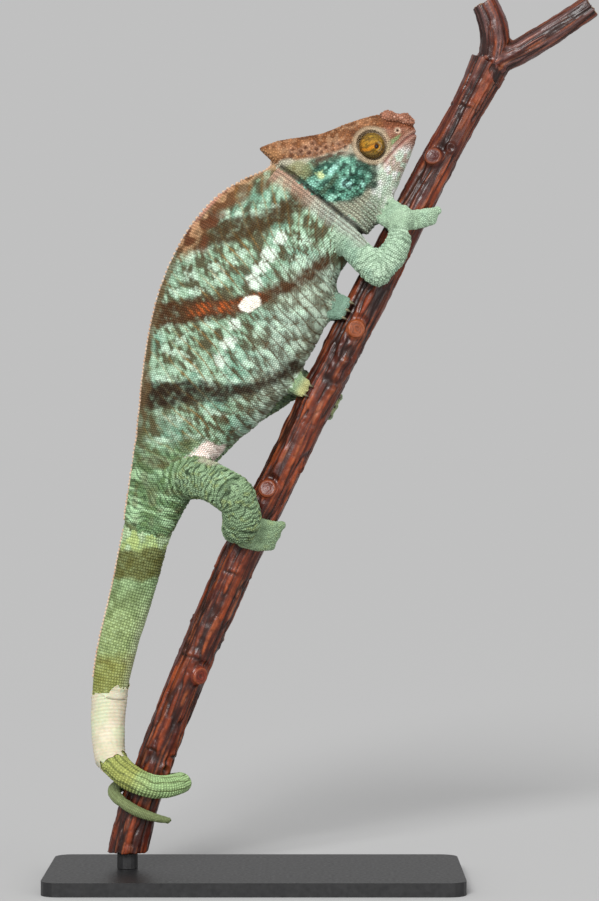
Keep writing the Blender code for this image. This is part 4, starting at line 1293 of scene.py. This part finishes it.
def find_scales():
    """Every scale's place, the face of the skin that it sits on, and its pitch."""
    crowd = Crowd()
    places, faces, pitches = [], [], []

    def take(candidates, spacings, near, owners_wanted=None):
        for place, pitch in zip(candidates, spacings):
            hit, _, face, _ = SKIN_TREE.find_nearest(Vector(place))
            if owners_wanted is not None and FACE_OWNERS[face] not in owners_wanted:
                continue
            if crowd.admits(tuple(hit), pitch * near):
                places.append(hit)
                faces.append(face)
                pitches.append(pitch)

    def filler(kind, per_area):
        ours = FACE_CORNERS[NODE_KINDS[FACE_OWNERS] == kind]
        return scattered(SKIN_CORNERS[ours], per_area, 11)[0]

    for name, path in PATHS.items():
        owners = set(np.flatnonzero((NODE_PATHS == name) & (NODE_KINDS != "grip")))
        if name == "tail":
            take(*ring_places(path, tail_pitch, False), RING_NEAR, owners)
        elif name != "head":
            pitch = ROW_PITCH["trunk" if name == "trunk" else "limb"]
            take(*ring_places(path, lambda run, pitch=pitch: pitch, True), RING_NEAR, owners)
    head = filler("head", HEAD_TRIES)
    take(head, head_pitch(head), HEAD_NEAR)
    for kind, per_area, near in FILLERS:
        found = filler(kind, per_area)
        take(found, np.full(len(found), ROW_PITCH[kind]), near)
    return np.array(places), np.array(faces), np.array(pitches)


BAKE_PATCH = 0.003  # width of a scale on the OFBake map
# A ring's height over the skin, and the share of the scale's height that is added
SCALE_FOOT, SCALE_SHOULDER = (-0.45, 0.0), (0.0, 0.66)
SHOULDER_SHARE = 0.76  # the upper ring's width, as a share of the foot's
SCALE_PAINTED_SHADING = (0.42, 0.97, 1.08)  # of the foot, the shoulder and the top: painted shade at the foot, partly the darker skin between the scales, and a painted highlight on the top


def scale_mesh(name, roots, normals, ways, pitches, heights, sides, colour_of, charts):
    """Closed low domes joined into one mesh, with their colours and their patches on the OFBake map."""
    count, each = len(roots), 2 * sides + 1
    turns = 2 * np.pi * (np.arange(sides) + 0.5) / sides
    across = np.cross(normals, ways)
    around = ways[:, None] * np.cos(turns)[None, :, None] + across[:, None] * np.sin(turns)[None, :, None]
    reach = 0.575 if sides == 6 else 0.60
    layers = []
    for share, (sunk, lift) in ((reach, SCALE_FOOT), (reach * SHOULDER_SHARE, SCALE_SHOULDER)):
        level = (sunk + lift * heights)[:, None, None] * normals[:, None]
        layers.append(roots[:, None] + around * (share * pitches)[:, None, None] + level)
    layers.append((roots + normals * heights[:, None])[:, None])
    corners = np.concatenate(layers, axis=1).reshape(-1, 3)
    start, foot = np.arange(count)[:, None, None] * each, np.arange(sides)
    after = (foot + 1) % sides
    quads = np.column_stack([foot, after, after + sides, foot + sides])
    caps = np.column_stack([foot + sides, after + sides, np.full(sides, 2 * sides)])
    mesh = mesh_of(name, corners, (start + quads).reshape(-1, 4), (start + caps).reshape(-1, 3),
                   (start[:, 0] + foot[::-1]).reshape(-1, sides))
    # painted shade at each scale's foot and a painted highlight on its top
    painted_shading = np.repeat(SCALE_PAINTED_SHADING, (sides, sides, 1))
    give_colours(mesh, colour_of(corners, each) * np.tile(painted_shading, count)[:, None])
    spread = np.zeros((each, 2))
    spread[:sides] = np.column_stack([np.cos(turns), np.sin(turns)]) * BAKE_PATCH / 2
    spread[sides : 2 * sides] = spread[:sides] * SHOULDER_SHARE
    patches = (charts[:, None] + spread[None]).reshape(-1, 2)
    order = values_of(mesh.loops, "vertex_index", np.int32, 1)[:, 0]
    mesh.uv_layers.new(name="OFBake").data.foreach_set("uv", patches[order].astype(np.float32).ravel())
    return mesh


def nodes_with(*starts):
    return [number for number, node in enumerate(NODE_NAMES) if node.startswith(starts)]


MOST_SCALES = {6: 9000, 8: 6500}  # in one piece, by the sides of a scale
COAT_PIECES = (
    ("scales_head", "head_skin", 6, nodes_with("head", "lower_jaw", "casque")),
    ("scales_neck_chest", "body_skin", 6, nodes_with("neck", "chest")),
    ("scales_belly_pelvis", "body_skin", 6, nodes_with("belly", "pelvis")),
    ("scales_tail", "tail_skin", 8, nodes_with("tail")),
    ("scales_right_limbs", "limb_skin", 6, nodes_with("right")),
    ("scales_left_limbs", "limb_skin", 6, nodes_with("left")),
)


def strip_places(path_names, run, angle):
    """Each root's place on an unwrap of the skin: a strip for each path, its length up, its girth across."""
    found = np.zeros((len(run), 2))
    left = 0.0
    for name, count in zip(*np.unique(path_names, return_counts=True)):
        width = count / len(run)
        ours = path_names == name
        own = run[ours]
        found[ours, 0] = left + width * (0.02 + 0.96 * (angle[ours] / (2 * np.pi) + 0.5))
        found[ours, 1] = 0.01 + 0.98 * (own - own.min()) / max(np.ptp(own), 1e-6)
        left += width
    return found


def make_coat():
    roots, faces, pitches = find_scales()
    owners = FACE_OWNERS[faces]
    names, kinds = NODE_PATHS[owners], NODE_KINDS[owners]
    normals = unit(SKIN_NORMALS[FACE_CORNERS[faces]].mean(axis=1))
    run, angle, reach = coordinates_of(roots, owners)
    draw = np.random.default_rng(5)
    ways = np.zeros_like(roots)
    for name in np.unique(names):
        ours = np.flatnonzero(names == name)
        ways[ours] = np.cross(normals[ours], interpolated(run[ours], PATHS[name].run, PATHS[name].along))
    loose = (kinds == "head") | (kinds == "grip")
    ways, turn = unit(ways), (draw.random(len(roots)) * np.pi * loose)[:, None]
    ways = unit(ways * np.cos(turn) + np.cross(normals, ways) * np.sin(turn))
    heights = pitches * SCALE_HEIGHT * (0.85 + 0.3 * draw.random(len(roots)))
    trunk = kinds == "trunk"
    creased = trunk_creases(roots[trunk], *crease_frame(run[trunk], angle[trunk], reach[trunk]))
    heights[trunk] *= 1 - 0.55 * creased
    ahead, place = throat_distance(roots[:, [0, 2]])
    in_fold = bell(ahead, 1.2) * (place > 0.01) * (place < 0.999) * (kinds != "grip")
    heights *= 1 - 0.7 * in_fold
    sizes = pitches * (0.96 + 0.08 * draw.random(len(roots)))
    shade = 0.88 + 0.24 * draw.random(len(roots))
    for name, slot_name, sides, numbers in COAT_PIECES:
        ours = np.flatnonzero(np.isin(owners, numbers))
        ours = ours[np.argsort(run[ours] + 1000.0 * (kinds[ours] == "grip"), kind="stable")]
        parts = int(math.ceil(len(ours) / MOST_SCALES[sides]))
        for number, chunk in enumerate(np.array_split(ours, parts)):

            def colour_of(points, each, chunk=chunk):
                repeated = np.repeat(chunk, each)
                return painted(points, owners[repeated]) * shade[repeated][:, None]

            charts = strip_places(names[chunk], run[chunk], angle[chunk])
            link(scale_mesh(f"{name}_{number + 1}", roots[chunk], normals[chunk], ways[chunk], sizes[chunk],
                            heights[chunk], sides, colour_of, charts), SCALE_MATERIAL)


make_coat()


# Smaller pieces with scales of their own


def unrolled(turn, place):
    """Where each root lies on an unrolled tube: its turn round it across, its place along it up."""
    across = 0.02 + 0.96 * (turn / (2 * np.pi) % 1)
    return np.column_stack([across, 0.02 + 0.96 * (place - place.min()) / max(np.ptp(place), 1e-6)])


def loose_scales(name, roots, normals, pitches, colours, charts, sides, lift):
    """A piece of scales with a colour each, away from the paths of the body."""
    draw = np.random.default_rng(9)
    ways = unit(np.cross(normals, draw.normal(size=normals.shape)))
    link(scale_mesh(name, roots, normals, ways, pitches, pitches * lift, sides,
                    lambda points, each: np.repeat(colours, each, axis=0), charts), SCALE_MATERIAL)


RIDGE_PITCH = 2.25
RIDGE_SPANS = (("trunk", 6.25, PATHS["trunk"].length - 4), ("tail", 2.0, 88.0))


def make_ridge():
    """The ridge of beads along the back."""
    roots, normals = [], []
    for name, first, last in RIDGE_SPANS:
        for where in np.arange(first, last, RIDGE_PITCH):
            place, normal, _, _ = PATHS[name].ray(where, 0)
            if place is not None and (not roots or (place - roots[-1]).length > RIDGE_PITCH * 0.7):
                roots.append(place)
                normals.append(normal)
    roots, normals = np.array(roots), np.array(normals)
    tints = lay(even(roots, (224, 202, 178)), (198, 160, 130), noise(roots, 5, 71))
    sizes = RIDGE_PITCH * (0.95 + 0.12 * noise(roots, 2, 72))
    charts = np.column_stack([np.linspace(0.01, 0.99, len(roots)), np.full(len(roots), 0.5)])
    loose_scales("scales_back_ridge", roots, normals, sizes, tints, charts, 8, 0.6)


make_ridge()


# Eyes


# The turret's profile: degrees from the gaze, distance from its middle
TURRET_PROFILE = ((0, 6.2), (7, 6.25), (11.5, 6.7), (12.5, 7.25), (15.5, 7.62), (19, 7.5), (24, 7.46),
                  (40, 7.44), (56, 7.42), (66, 7.44), (70, 7.28), (74, 7.44), (79, 7.16), (84, 7.42),
                  (89, 7.1), (98, 7.3), (112, 7.0), (140, 6.8), (179, 6.6))
TURRET_SIDES = 84
BALL_RADIUS, BALL_FRONT = 2.6, 7.2  # the eyeball, and how far from the turret's middle its front lies
PUPIL, IRIS = 24, 34  # degrees from the gaze to their edges
EYE_WARMTH = np.array([0.93, 0.84, 0.8])


def eye_centre(side):
    return np.array(EYE_CENTRE) * (1, side, 1)


def eye_axes(side):
    """The gaze of one eye, and its across and up directions."""
    gaze = unit(np.array(GAZE) * (1, side, 1))
    up = unit(np.array([0.0, 0.0, 1.0]) - gaze * gaze[2])
    across = unit(np.array([1.0, 0.0, 0.0]) - gaze * gaze[0])
    return gaze, unit(across - up * across.dot(up)), up


def paint_eye(points, side):
    """Colours of a turret: olive with fine streaks, golden along the lids' slit, dark lines at its rim."""
    flat = (points - eye_centre(side))[:, [0, 2]]
    x, z = flat.T
    reach = np.hypot(x, z)
    fine, rough = noise(points, 0.7, 73), noise(points, 2.6, 74)
    drawn_out = np.column_stack([x * 0.35 + z * 0.1, z * 1.4 - x * 0.5, x * 0])
    streak = np.abs((noise(drawn_out, 0.9, 75) - 0.5) * 2)
    colours = lay(even(points, (162, 134, 44)), (206, 148, 44), rough)
    lay(colours, (134, 128, 58), ease(0.5, 4.5, z + x * 0.35) * 0.5)
    lay(colours, (84, 66, 22), ease(0.45, 0.05, streak) * 0.75)
    slit, _ = curve_distance(flat, ((3.2, -0.4), (0.6, -1.2), (-2.4, -2.9), (-5.4, -3.0)))
    lay(colours, (226, 152, 38), ease(1.3, 0.4, slit) * (0.55 + 0.4 * fine))
    lay(colours, (92, 58, 20), bell(slit - 1.5, 0.35) * 0.6 * (x < 3))
    low = ease(-3.4, -5.4, z + 0.2 * x)
    lay(colours, (128, 112, 66), low * 0.7)
    pupil = np.hypot(x - 3.1, z + 1.1)
    lay(colours, (176, 160, 120), bell(pupil - 2.4, 0.5) * (x > 3.4) * 0.7)
    for radius, depth in ((6.25, 0.85), (6.95, 0.75)):
        lay(colours, (46, 32, 16), bell(reach - radius, 0.22) * depth)
    lay(colours, (140, 112, 70), ease(7.1, 7.5, reach) * 0.8)
    return colours * (0.82 + 0.3 * fine)[:, None] * EYE_WARMTH


def make_eye(name, side):
    centre, (gaze, across, up) = eye_centre(side), eye_axes(side)
    profile = spline(TURRET_PROFILE, 4)
    turns = np.arange(TURRET_SIDES) / TURRET_SIDES * 2 * np.pi * side
    tilt = np.radians(profile[:, 0])[:, None, None]
    around = np.cos(turns)[:, None] * across + np.sin(turns)[:, None] * up
    wrinkle = 1 + 0.006 * np.sin(turns * 30)[None, :] * ease(14, 18, profile[:, 0])[:, None]
    rings = (np.cos(tilt) * gaze + np.sin(tilt) * around[None]) * (profile[:, 1:] * wrinkle)[..., None]
    corners = (centre + rings).reshape(-1, 3)
    faces = grid_faces(len(profile), TURRET_SIDES)
    mesh = mesh_of(f"{name}_turret", corners, faces)
    give_colours(mesh, paint_eye(corners, side))
    link(mesh, SKIN_MATERIAL, (name,))

    places, _ = scattered(corners[faces[:, :3]], 16, 13)
    level = unit(places - centre) @ gaze
    crowd = Crowd()
    roots = np.array([place for place, near in zip(places, level)
                      if -0.25 < near < math.cos(math.radians(17)) and crowd.admits(tuple(place), 0.72)])
    outward = unit(roots - centre)
    charts = unrolled(np.arctan2(outward @ up, outward @ across), np.arccos(outward @ gaze))
    loose_scales(f"scales_{name}", roots, outward, np.full(len(roots), 0.8),
                 np.clip(paint_eye(roots, side), 0, 1), charts, 6, 0.22)

    bpy.ops.mesh.primitive_uv_sphere_add(segments=48, ring_count=24, radius=BALL_RADIUS * MM)
    ball = bpy.context.object
    mesh = tuned(ball.data, name=f"{name}_ball")
    bpy.data.objects.remove(ball)
    local = corners_of(mesh)
    level = local[:, 2:] / BALL_RADIUS
    tints = np.where(level > math.cos(math.radians(PUPIL)), paint((12, 8, 6)), paint((110, 60, 20)))
    give_colours(mesh, np.where(level > math.cos(math.radians(IRIS)), tints, paint((30, 20, 10))))
    local = local @ np.array([across, np.cross(gaze, across), gaze])
    set_corners(mesh, centre + gaze * (BALL_FRONT - BALL_RADIUS) + local)
    link(mesh, EYEBALL_MATERIAL)


make_eye("eye_left", 1)
make_eye("eye_right", -1)


# Rostral processes


def paint_lobe(points):
    tints = lay(even(points, (176, 120, 96)), (132, 86, 64), noise(points, 3, 82))
    return lay(tints, (204, 156, 134), ease(0.6, 0.8, noise(points, 1.6, 83)))


def make_lobe(side):
    """One of the two warty lobes on the snout, with its own granules."""
    node = f"rostral_process_{side}"
    mesh = fused(f"rostral_lobe_{side}", (node,), 0.5, 0.5)
    corners = smoothed(corners_of(mesh), edges_of(mesh), 9)
    set_corners(mesh, corners)
    corners = corners - normals_of(mesh) * (0.2 - 0.7 * (noise(corners, 2.4, 81) - 0.5))[:, None]
    set_corners(mesh, corners)
    with edited(mesh) as shape:
        bmesh.ops.triangulate(shape, faces=shape.faces)
    # the lobe's skin darkened, partly as painted shade between its granules
    give_colours(mesh, paint_lobe(corners) * SKIN_GAP_SHADE)
    normals, triangles = normals_of(mesh), triangles_of(mesh)
    places, picked = scattered(corners[triangles], 8, 14)
    crowd = Crowd()
    kept = [number for number, place in enumerate(places) if crowd.admits(tuple(place), 1.25)]
    roots = places[kept]
    directions = unit(normals[triangles[picked[kept]]].mean(axis=1))
    link(mesh, SKIN_MATERIAL, (node,))
    offset = roots - corners.mean(axis=0)
    charts = unrolled(np.arctan2(offset[:, 2], offset[:, 1]), offset[:, 0])
    loose_scales(f"scales_{mesh.name}", roots, directions, np.full(len(roots), 1.4),
                 paint_lobe(roots), charts, 8, 0.34)


make_lobe("left")
make_lobe("right")


# Claws


def tube(points, radii, sides):
    """Rings round a path, with the ends closed, as corners and faces."""
    along = unit(np.gradient(points, axis=0))
    side = unit(np.cross(along, [0.31, 0.17, 0.93]))
    other = np.cross(along, side)
    turns = np.arange(sides) / sides * 2 * np.pi
    rings = points[:, None] + (np.cos(turns)[None, :, None] * side[:, None]
                               + np.sin(turns)[None, :, None] * other[:, None]) * radii[:, None, None]
    count = len(points) * sides
    corners = np.vstack([rings.reshape(-1, 3), points[:1], points[-1:]])
    ends = np.arange(sides)
    after = (ends + 1) % sides
    first = np.column_stack([after, ends, np.full(sides, count)])
    last = np.column_stack([ends + count - sides, after + count - sides, np.full(sides, count + 1)])
    return corners, grid_faces(len(points), sides), np.vstack([first, last])


CLAW_SIDES = 14


def make_claws():
    """All of one foot's claws are one piece."""
    material = glossy_material("claw_horn", 0.3, 0.5).material
    for name, grip in GRIPS.items():
        parts, tints = [], []
        for bundle in grip[2]:
            for number in range(bundle[0]):
                points, radii = claw_path(grip, bundle, number)
                parts.append(tube(points, radii, CLAW_SIDES))
                share = np.append(np.repeat(np.linspace(0, 1, len(points)), CLAW_SIDES), (0, 1))
                tints.append(lay(even(share, (126, 124, 92)), (58, 46, 32), share))
        each = len(tints[0])
        corners, *groups = zip(*parts)
        groups = [np.vstack([faces + each * number for number, faces in enumerate(group)])
                  for group in groups]
        mesh = mesh_of(f"claws_{name}", np.vstack(corners), *groups)
        give_colours(mesh, np.vstack(tints))
        link(mesh, material)


make_claws()


# Shed skin on the tail


SHED_TOP, SHED_FOOT = ((106.7, 116), (69, 72.5))  # heights on the back and the belly side of the tail
SHED_STEP, SHED_SIDES, SHED_CLEARANCE, SHED_THICKNESS = 0.6, 110, 0.7, 0.2
SHED_RING, SHED_REACH = 2.05, 13.0  # distance between its rings, farthest from the tail's middle


def make_shed_skin():
    path = PATHS["tail"]
    hanging = path.run < 170
    turns = np.linspace(-np.pi, np.pi, SHED_SIDES + 1)[:-1]
    toward_belly = (1 - np.cos(turns)) / 2

    def run_at(heights):
        back, belly = (np.interp(-height, -path.points[hanging, 2], path.run[hanging]) for height in heights)
        return back + (belly - back) * toward_belly

    circle = np.column_stack([np.cos(turns) * 10, np.sin(turns) * 10, turns * 0])
    top, foot = run_at(SHED_TOP), run_at(SHED_FOOT)
    rows = np.arange(top.min() - 5, foot.max() + 5, SHED_STEP)
    top = top + ((noise(circle, 5, 91) - 0.5) * 7 + (noise(circle, 1.6, 92) - 0.5) * 3.4)
    foot = foot + ((noise(circle, 6, 93) - 0.5) * 8 + (noise(circle, 1.8, 94) - 0.5) * 3.0)
    corners, present = [], []
    for row in rows:
        edge = np.minimum(row - top, foot - row)
        present.append(edge > -SHED_STEP)
        curl = 0.8 * np.exp(-np.maximum(edge, 0) / 1.3) * noise(circle, 4, 95)
        ripple = 0.3 * (noise(circle + row * 0.35, 3, 96) - 0.5)
        ripple = 0.13 * math.cos(row / SHED_RING * 2 * math.pi) + ripple
        for turn, where, out in zip(turns, np.clip(row, top, foot), SHED_CLEARANCE + curl + ripple):
            middle, _, up, side = path.at(where)
            place, _, _, reach = path.ray(where, turn)
            reach = min(reach, SHED_REACH) if place is not None else 9.0
            corners.append(middle + (up * math.cos(turn) + side * math.sin(turn)) * (reach + out))
    faces = grid_faces(len(rows), SHED_SIDES)
    faces = faces[np.array(present).ravel()[faces].all(axis=1)]
    used, faces = np.unique(faces, return_inverse=True)
    mesh = mesh_of("shed_skin", np.array(corners)[used], faces.reshape(-1, 4))
    mesh = modified(mesh, "SOLIDIFY", thickness=SHED_THICKNESS * MM, offset=0)
    points = corners_of(mesh)
    tints = lay(even(points, (194, 188, 160)), (214, 202, 180), noise(points, 6, 99))
    lay(tints, (198, 208, 172), ease(0.55, 0.8, noise(points, 8, 100)) * 0.6)
    rings = ease(0.4, -0.9, np.cos(path.coordinates(points)[0] / SHED_RING * 2 * np.pi))
    lay(tints, (176, 178, 146), rings * 0.35)
    give_colours(mesh, tints * (0.85 + 0.15 * noise(points, 1.2, 98))[:, None])
    nodes = glossy_material("shed_skin", 0.55, 0.4, Subsurface_Weight=0.15, Subsurface_Scale=0.5 * MM)
    nodes.bump(1500, 3, 0.3, 0.15)
    link(mesh, nodes.material)


make_shed_skin()


# The branch


BRANCH_NODES = ("perch_branch", "perch_fork_left", "perch_fork_right")
BRANCH_VOXEL = 0.72
KNOTS = 16
SCAR_TINTS = ((84, 30, 22), (150, 76, 36), (112, 46, 24), (124, 46, 28))


def scar_coordinates(points, height, turn, sunk=0.0):
    """Height of points over a twig scar's face, distance from its axis and middle, and the way it faces."""
    centre = round_branch(height, turn, SCAR_REACH, 1.5)
    out = unit(centre - round_branch(height, turn, 2.5, 0.0))
    offset = points - centre
    level = offset @ out + sunk
    return level, norms(offset - level[:, None] * out), norms(offset), out


def branch_shape():
    """The branch and its forks in one mesh, with the twig scars cut flat."""
    mesh = fused("branch_bark", BRANCH_NODES, 0.1, BRANCH_VOXEL)
    corners = corners_of(mesh)
    steps = np.full(len(corners), 7.0)
    for scar in TWIG_SCARS:
        _, _, away, _ = scar_coordinates(corners, *scar)
        steps = np.maximum(steps, 50 * ease(SCAR_RADIUS + 4, SCAR_RADIUS, away))
    corners = smoothed(corners, edges_of(mesh), steps)
    for scar in TWIG_SCARS:
        level, beside, _, out = scar_coordinates(corners, *scar)
        sunk = SCAR_SINK * ease(-4.5, -1.0, level)
        sunk *= ease(SCAR_RADIUS + 4, SCAR_RADIUS + 1, beside)
        corners -= sunk[:, None] * out
    set_corners(mesh, corners)
    return mesh, corners


def branch_coordinates(corners):
    """The three arms' paths, and for each corner its arm, length along it, angle round it and distance."""
    lines = [np.array(BRANCH_LINE, float)[:, :2], LEFT_FORK_LINE, RIGHT_FORK_LINE]
    paths = [Path(in_middle_plane(spline(line, 8))) for line in lines]
    reaches = np.array([[path.tree.find(Vector(corner))[2] for corner in corners] for path in paths])
    nearest, each = np.argmin(reaches, axis=0), np.arange(len(corners))
    rows = np.array([path.coordinates(corners) for path in paths])
    run, angle = rows[nearest, 0, each], rows[nearest, 1, each]
    return paths, nearest, run, angle, reaches[nearest, each]


def cut_scars(corners, colours, lift):
    """Colours the twig scars, and gives the bark's height with their turned faces in it."""
    wave = noise(corners, 2.0, 108) * 1.5
    for scar, tint in zip(TWIG_SCARS, SCAR_TINTS):
        level, radius, _, _ = scar_coordinates(corners, *scar, SCAR_SINK)
        face = ease(-5.0, -3.6, level) * ease(SCAR_RADIUS + 1.6, SCAR_RADIUS - 0.6, radius)
        turned = 0.5 + 0.5 * np.cos((radius + wave) / 1.25 * 2 * np.pi)
        cut_lift = -0.3 - 0.3 * turned + 0.7 * bell(radius - 4.6, 0.9) - 0.9 * bell(radius, 1.8)
        lift = lift * (1 - face) + face * cut_lift
        cut = lay(even(corners, tint), (48, 16, 10), turned * 0.6)
        lay(cut, (168, 92, 56), bell(radius - 4.8, 0.7) * 0.45)
        lay(cut, (40, 16, 12), bell(radius, 1.1) * 0.8)
        lay(colours, cut, face)
    return lift


def bark_material():
    nodes = Nodes("bark", 0.4, specular=0.3)
    nodes.grained_markings(700, 4, 0.72)
    nodes.feed("Roughness", nodes.uneven(120, 3, 0.26, 0.5))
    nodes.feed("Coat Weight", 0.12)
    nodes.feed("Coat Roughness", 0.2)
    nodes.bump(900, 4, 0.4, 0.3)
    return nodes.material


def make_branch():
    mesh, corners = branch_shape()
    normals = normals_of(mesh)
    paths, nearest, run, angle, reach = branch_coordinates(corners)
    x, y, z = corners.T
    rolled = np.column_stack([run / 9 + nearest * 40, np.cos(angle) * 11, np.sin(angle) * 11])
    coarse, lumps = noise(rolled, 4.2, 101), noise(corners, 3.2, 105) - 0.5
    cracks = ease(0.17, 0.03, np.abs(noise(rolled, 2.4, 102) - 0.5))
    cracks = cracks * ease(0.25, 0.45, noise(rolled, 5, 103))
    hair = ease(0.2, 0.04, np.abs(noise(rolled * (2.2, 1, 1), 1.7, 104) - 0.5))
    fibres = noise(rolled * (0.7, 1, 1), 0.9, 110)
    flaky = ease(0, 0.5, blotch(corners[:, [0, 2]], FLAKY_BARK, (coarse - 0.5) * 0.5))
    lift = (coarse - 0.5) * 0.9 - cracks * 0.75 - hair * 0.2 + (fibres - 0.5) * 0.5
    lift = lift + lumps * (0.4 + 1.6 * flaky) - 0.3
    rings = np.zeros(len(corners))
    slant = z - np.abs(lumps) * 3 + y * 0.12
    for height in BARK_RINGS:
        away = slant - height - (x - np.interp(height, *np.array(BRANCH_LINE).T[[1, 0]])) * -0.35
        shown = ease(0.38, 0.6, noise(rolled, 7, 111 + height))
        rings += bell(away, 0.8) * shown
        lift += 0.35 * bell(away - 1.6, 1.2) * shown
    lift -= rings * 0.4

    strips = noise(rolled, 3.0, 106)
    colours = lay(even(corners, (80, 27, 13)), (138, 58, 24), ease(0.42, 0.75, strips))
    lay(colours, (46, 15, 8), ease(0.5, 0.2, coarse) * 0.8)
    lay(colours, (190, 120, 84), ease(0.72, 0.9, noise(rolled, 1.8, 107)) * 0.45)
    lay(colours, (104, 76, 74), ease(458, 480, z) * ease(0.45, 0.6, coarse) * 0.8)
    lay(colours, (64, 26, 16), flaky * 0.5)
    lay(colours, (176, 92, 48), ease(0.6, 0.85, fibres) * 0.5)
    draw = np.random.default_rng(21)
    for _ in range(KNOTS):
        height, turn, size = draw.uniform(30, 460), draw.uniform(-180, 180), draw.uniform(1.6, 3.2)
        radius = norms(corners - round_branch(height, turn, 11.0, 0.0))
        lift += 0.8 * bell(radius - size, size * 0.4) - 0.7 * bell(radius, size * 0.5)
        lay(colours, (40, 16, 10), bell(radius, size * 0.7) * 0.7)
    lay(colours, (30, 12, 8), np.clip(cracks * 0.85 + rings * 0.8 + hair * 0.4, 0, 0.9))

    lift = cut_scars(corners, colours, lift)
    wood = lay(even(corners, (176, 140, 100)), (128, 92, 62), 0.5 + 0.5 * np.cos(reach / 1.1 * 2 * np.pi))
    for index in (1, 2):
        ends = (nearest == index) & (run > paths[index].length - 1.2)
        ends &= np.abs(normals @ paths[index].along[-1]) > 0.8
        colours[ends] = wood[ends]
    corners = corners + normals * lift[:, None]
    set_corners(mesh, corners)
    give_colours(mesh, colours * (0.85 + 0.3 * noise(corners, 1.3, 109))[:, None])
    link(mesh, bark_material(), BRANCH_NODES)


make_branch()


# The stand


def finish_stand():
    nodes = Nodes("satin_black", 0.42, metallic=0.3)
    nodes.feed("Base Color", nodes.uneven(300, 2, paint((30, 30, 31)), paint((40, 40, 41))))
    nodes.feed("Roughness", nodes.uneven(500, 3, 0.38, 0.5))
    nodes.bump(4000, 2, 0.15, 0.05)
    for node in ("stand_base", "stand_rod"):
        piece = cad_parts[node]
        piece.data.materials.clear()
        piece.data.materials.append(nodes.material)
        tuned(piece.modifiers.new("soft_edges", "BEVEL"), width=0.8 * MM, segments=3, limit_method="ANGLE",
              angle_limit=math.radians(50))


finish_stand()


# The stage


PHOTO_HEIGHT = 0.5226  # of the photograph's frame, in metres at the animal
CAMERA_PLACE = (0.0258, -1.7, 0.2503)
LIGHT_HEIGHT, LIGHT_TURN = 31, -14  # degrees of the key light above level, and to the right of the camera
KEY_STRENGTH = 3.35
FILL_PLACE, FILL_AIM = (0.95, -1.3, 0.25), (0.02, 0, 0.27)
FLOOR_SHADE = 0.49


def aimed(way):
    """The rotation of a camera or lamp that looks this way."""
    return Vector(way).to_track_quat("-Z", "Y").to_euler()


def make_camera():
    camera = tuned(bpy.data.cameras.new("camera"), sensor_width=36, clip_end=200)
    camera.lens = camera.sensor_width * -CAMERA_PLACE[1] / PHOTO_HEIGHT
    bpy.context.scene.camera = placed("camera", camera, location=CAMERA_PLACE,
                                      rotation_euler=(math.radians(90), 0, 0))


def make_stage():
    """A pale floor under an even sky of the floor's own brightness, so that the camera sees no horizon."""
    bpy.ops.mesh.primitive_plane_add(size=160, location=(0, 0, 0))
    floor = tuned(bpy.context.object, name="floor")
    nodes = Nodes("pale_floor", 0.9, specular=0.0)
    nodes.feed("Base Color", (FLOOR_SHADE, FLOOR_SHADE, FLOOR_SHADE, 1))
    floor.data.materials.append(nodes.material)
    turn, height = math.radians(LIGHT_TURN), math.radians(LIGHT_HEIGHT)
    source = Vector((math.sin(turn) * math.cos(height), -math.cos(turn) * math.cos(height), math.sin(height)))
    key = tuned(bpy.data.lights.new("key", "SUN"), energy=KEY_STRENGTH, angle=math.radians(25))
    placed("key", key, rotation_euler=aimed(-source))
    fill = tuned(bpy.data.lights.new("fill", "AREA"), size=0.9, energy=7.0, color=(1.0, 0.99, 0.97))
    placed("fill", fill, location=FILL_PLACE, rotation_euler=aimed(Vector(FILL_AIM) - Vector(FILL_PLACE)))
    lit = KEY_STRENGTH * math.sin(height) / math.pi
    sky = FLOOR_SHADE * lit / (1 - FLOOR_SHADE)
    world = tuned(bpy.data.worlds.new("world"), use_nodes=True)
    world.node_tree.nodes["Background"].inputs["Color"].default_value = (sky, sky, sky, 1)
    bpy.context.scene.world = world
    bpy.context.scene.view_settings.view_transform = "Standard"


make_camera()
make_stage()
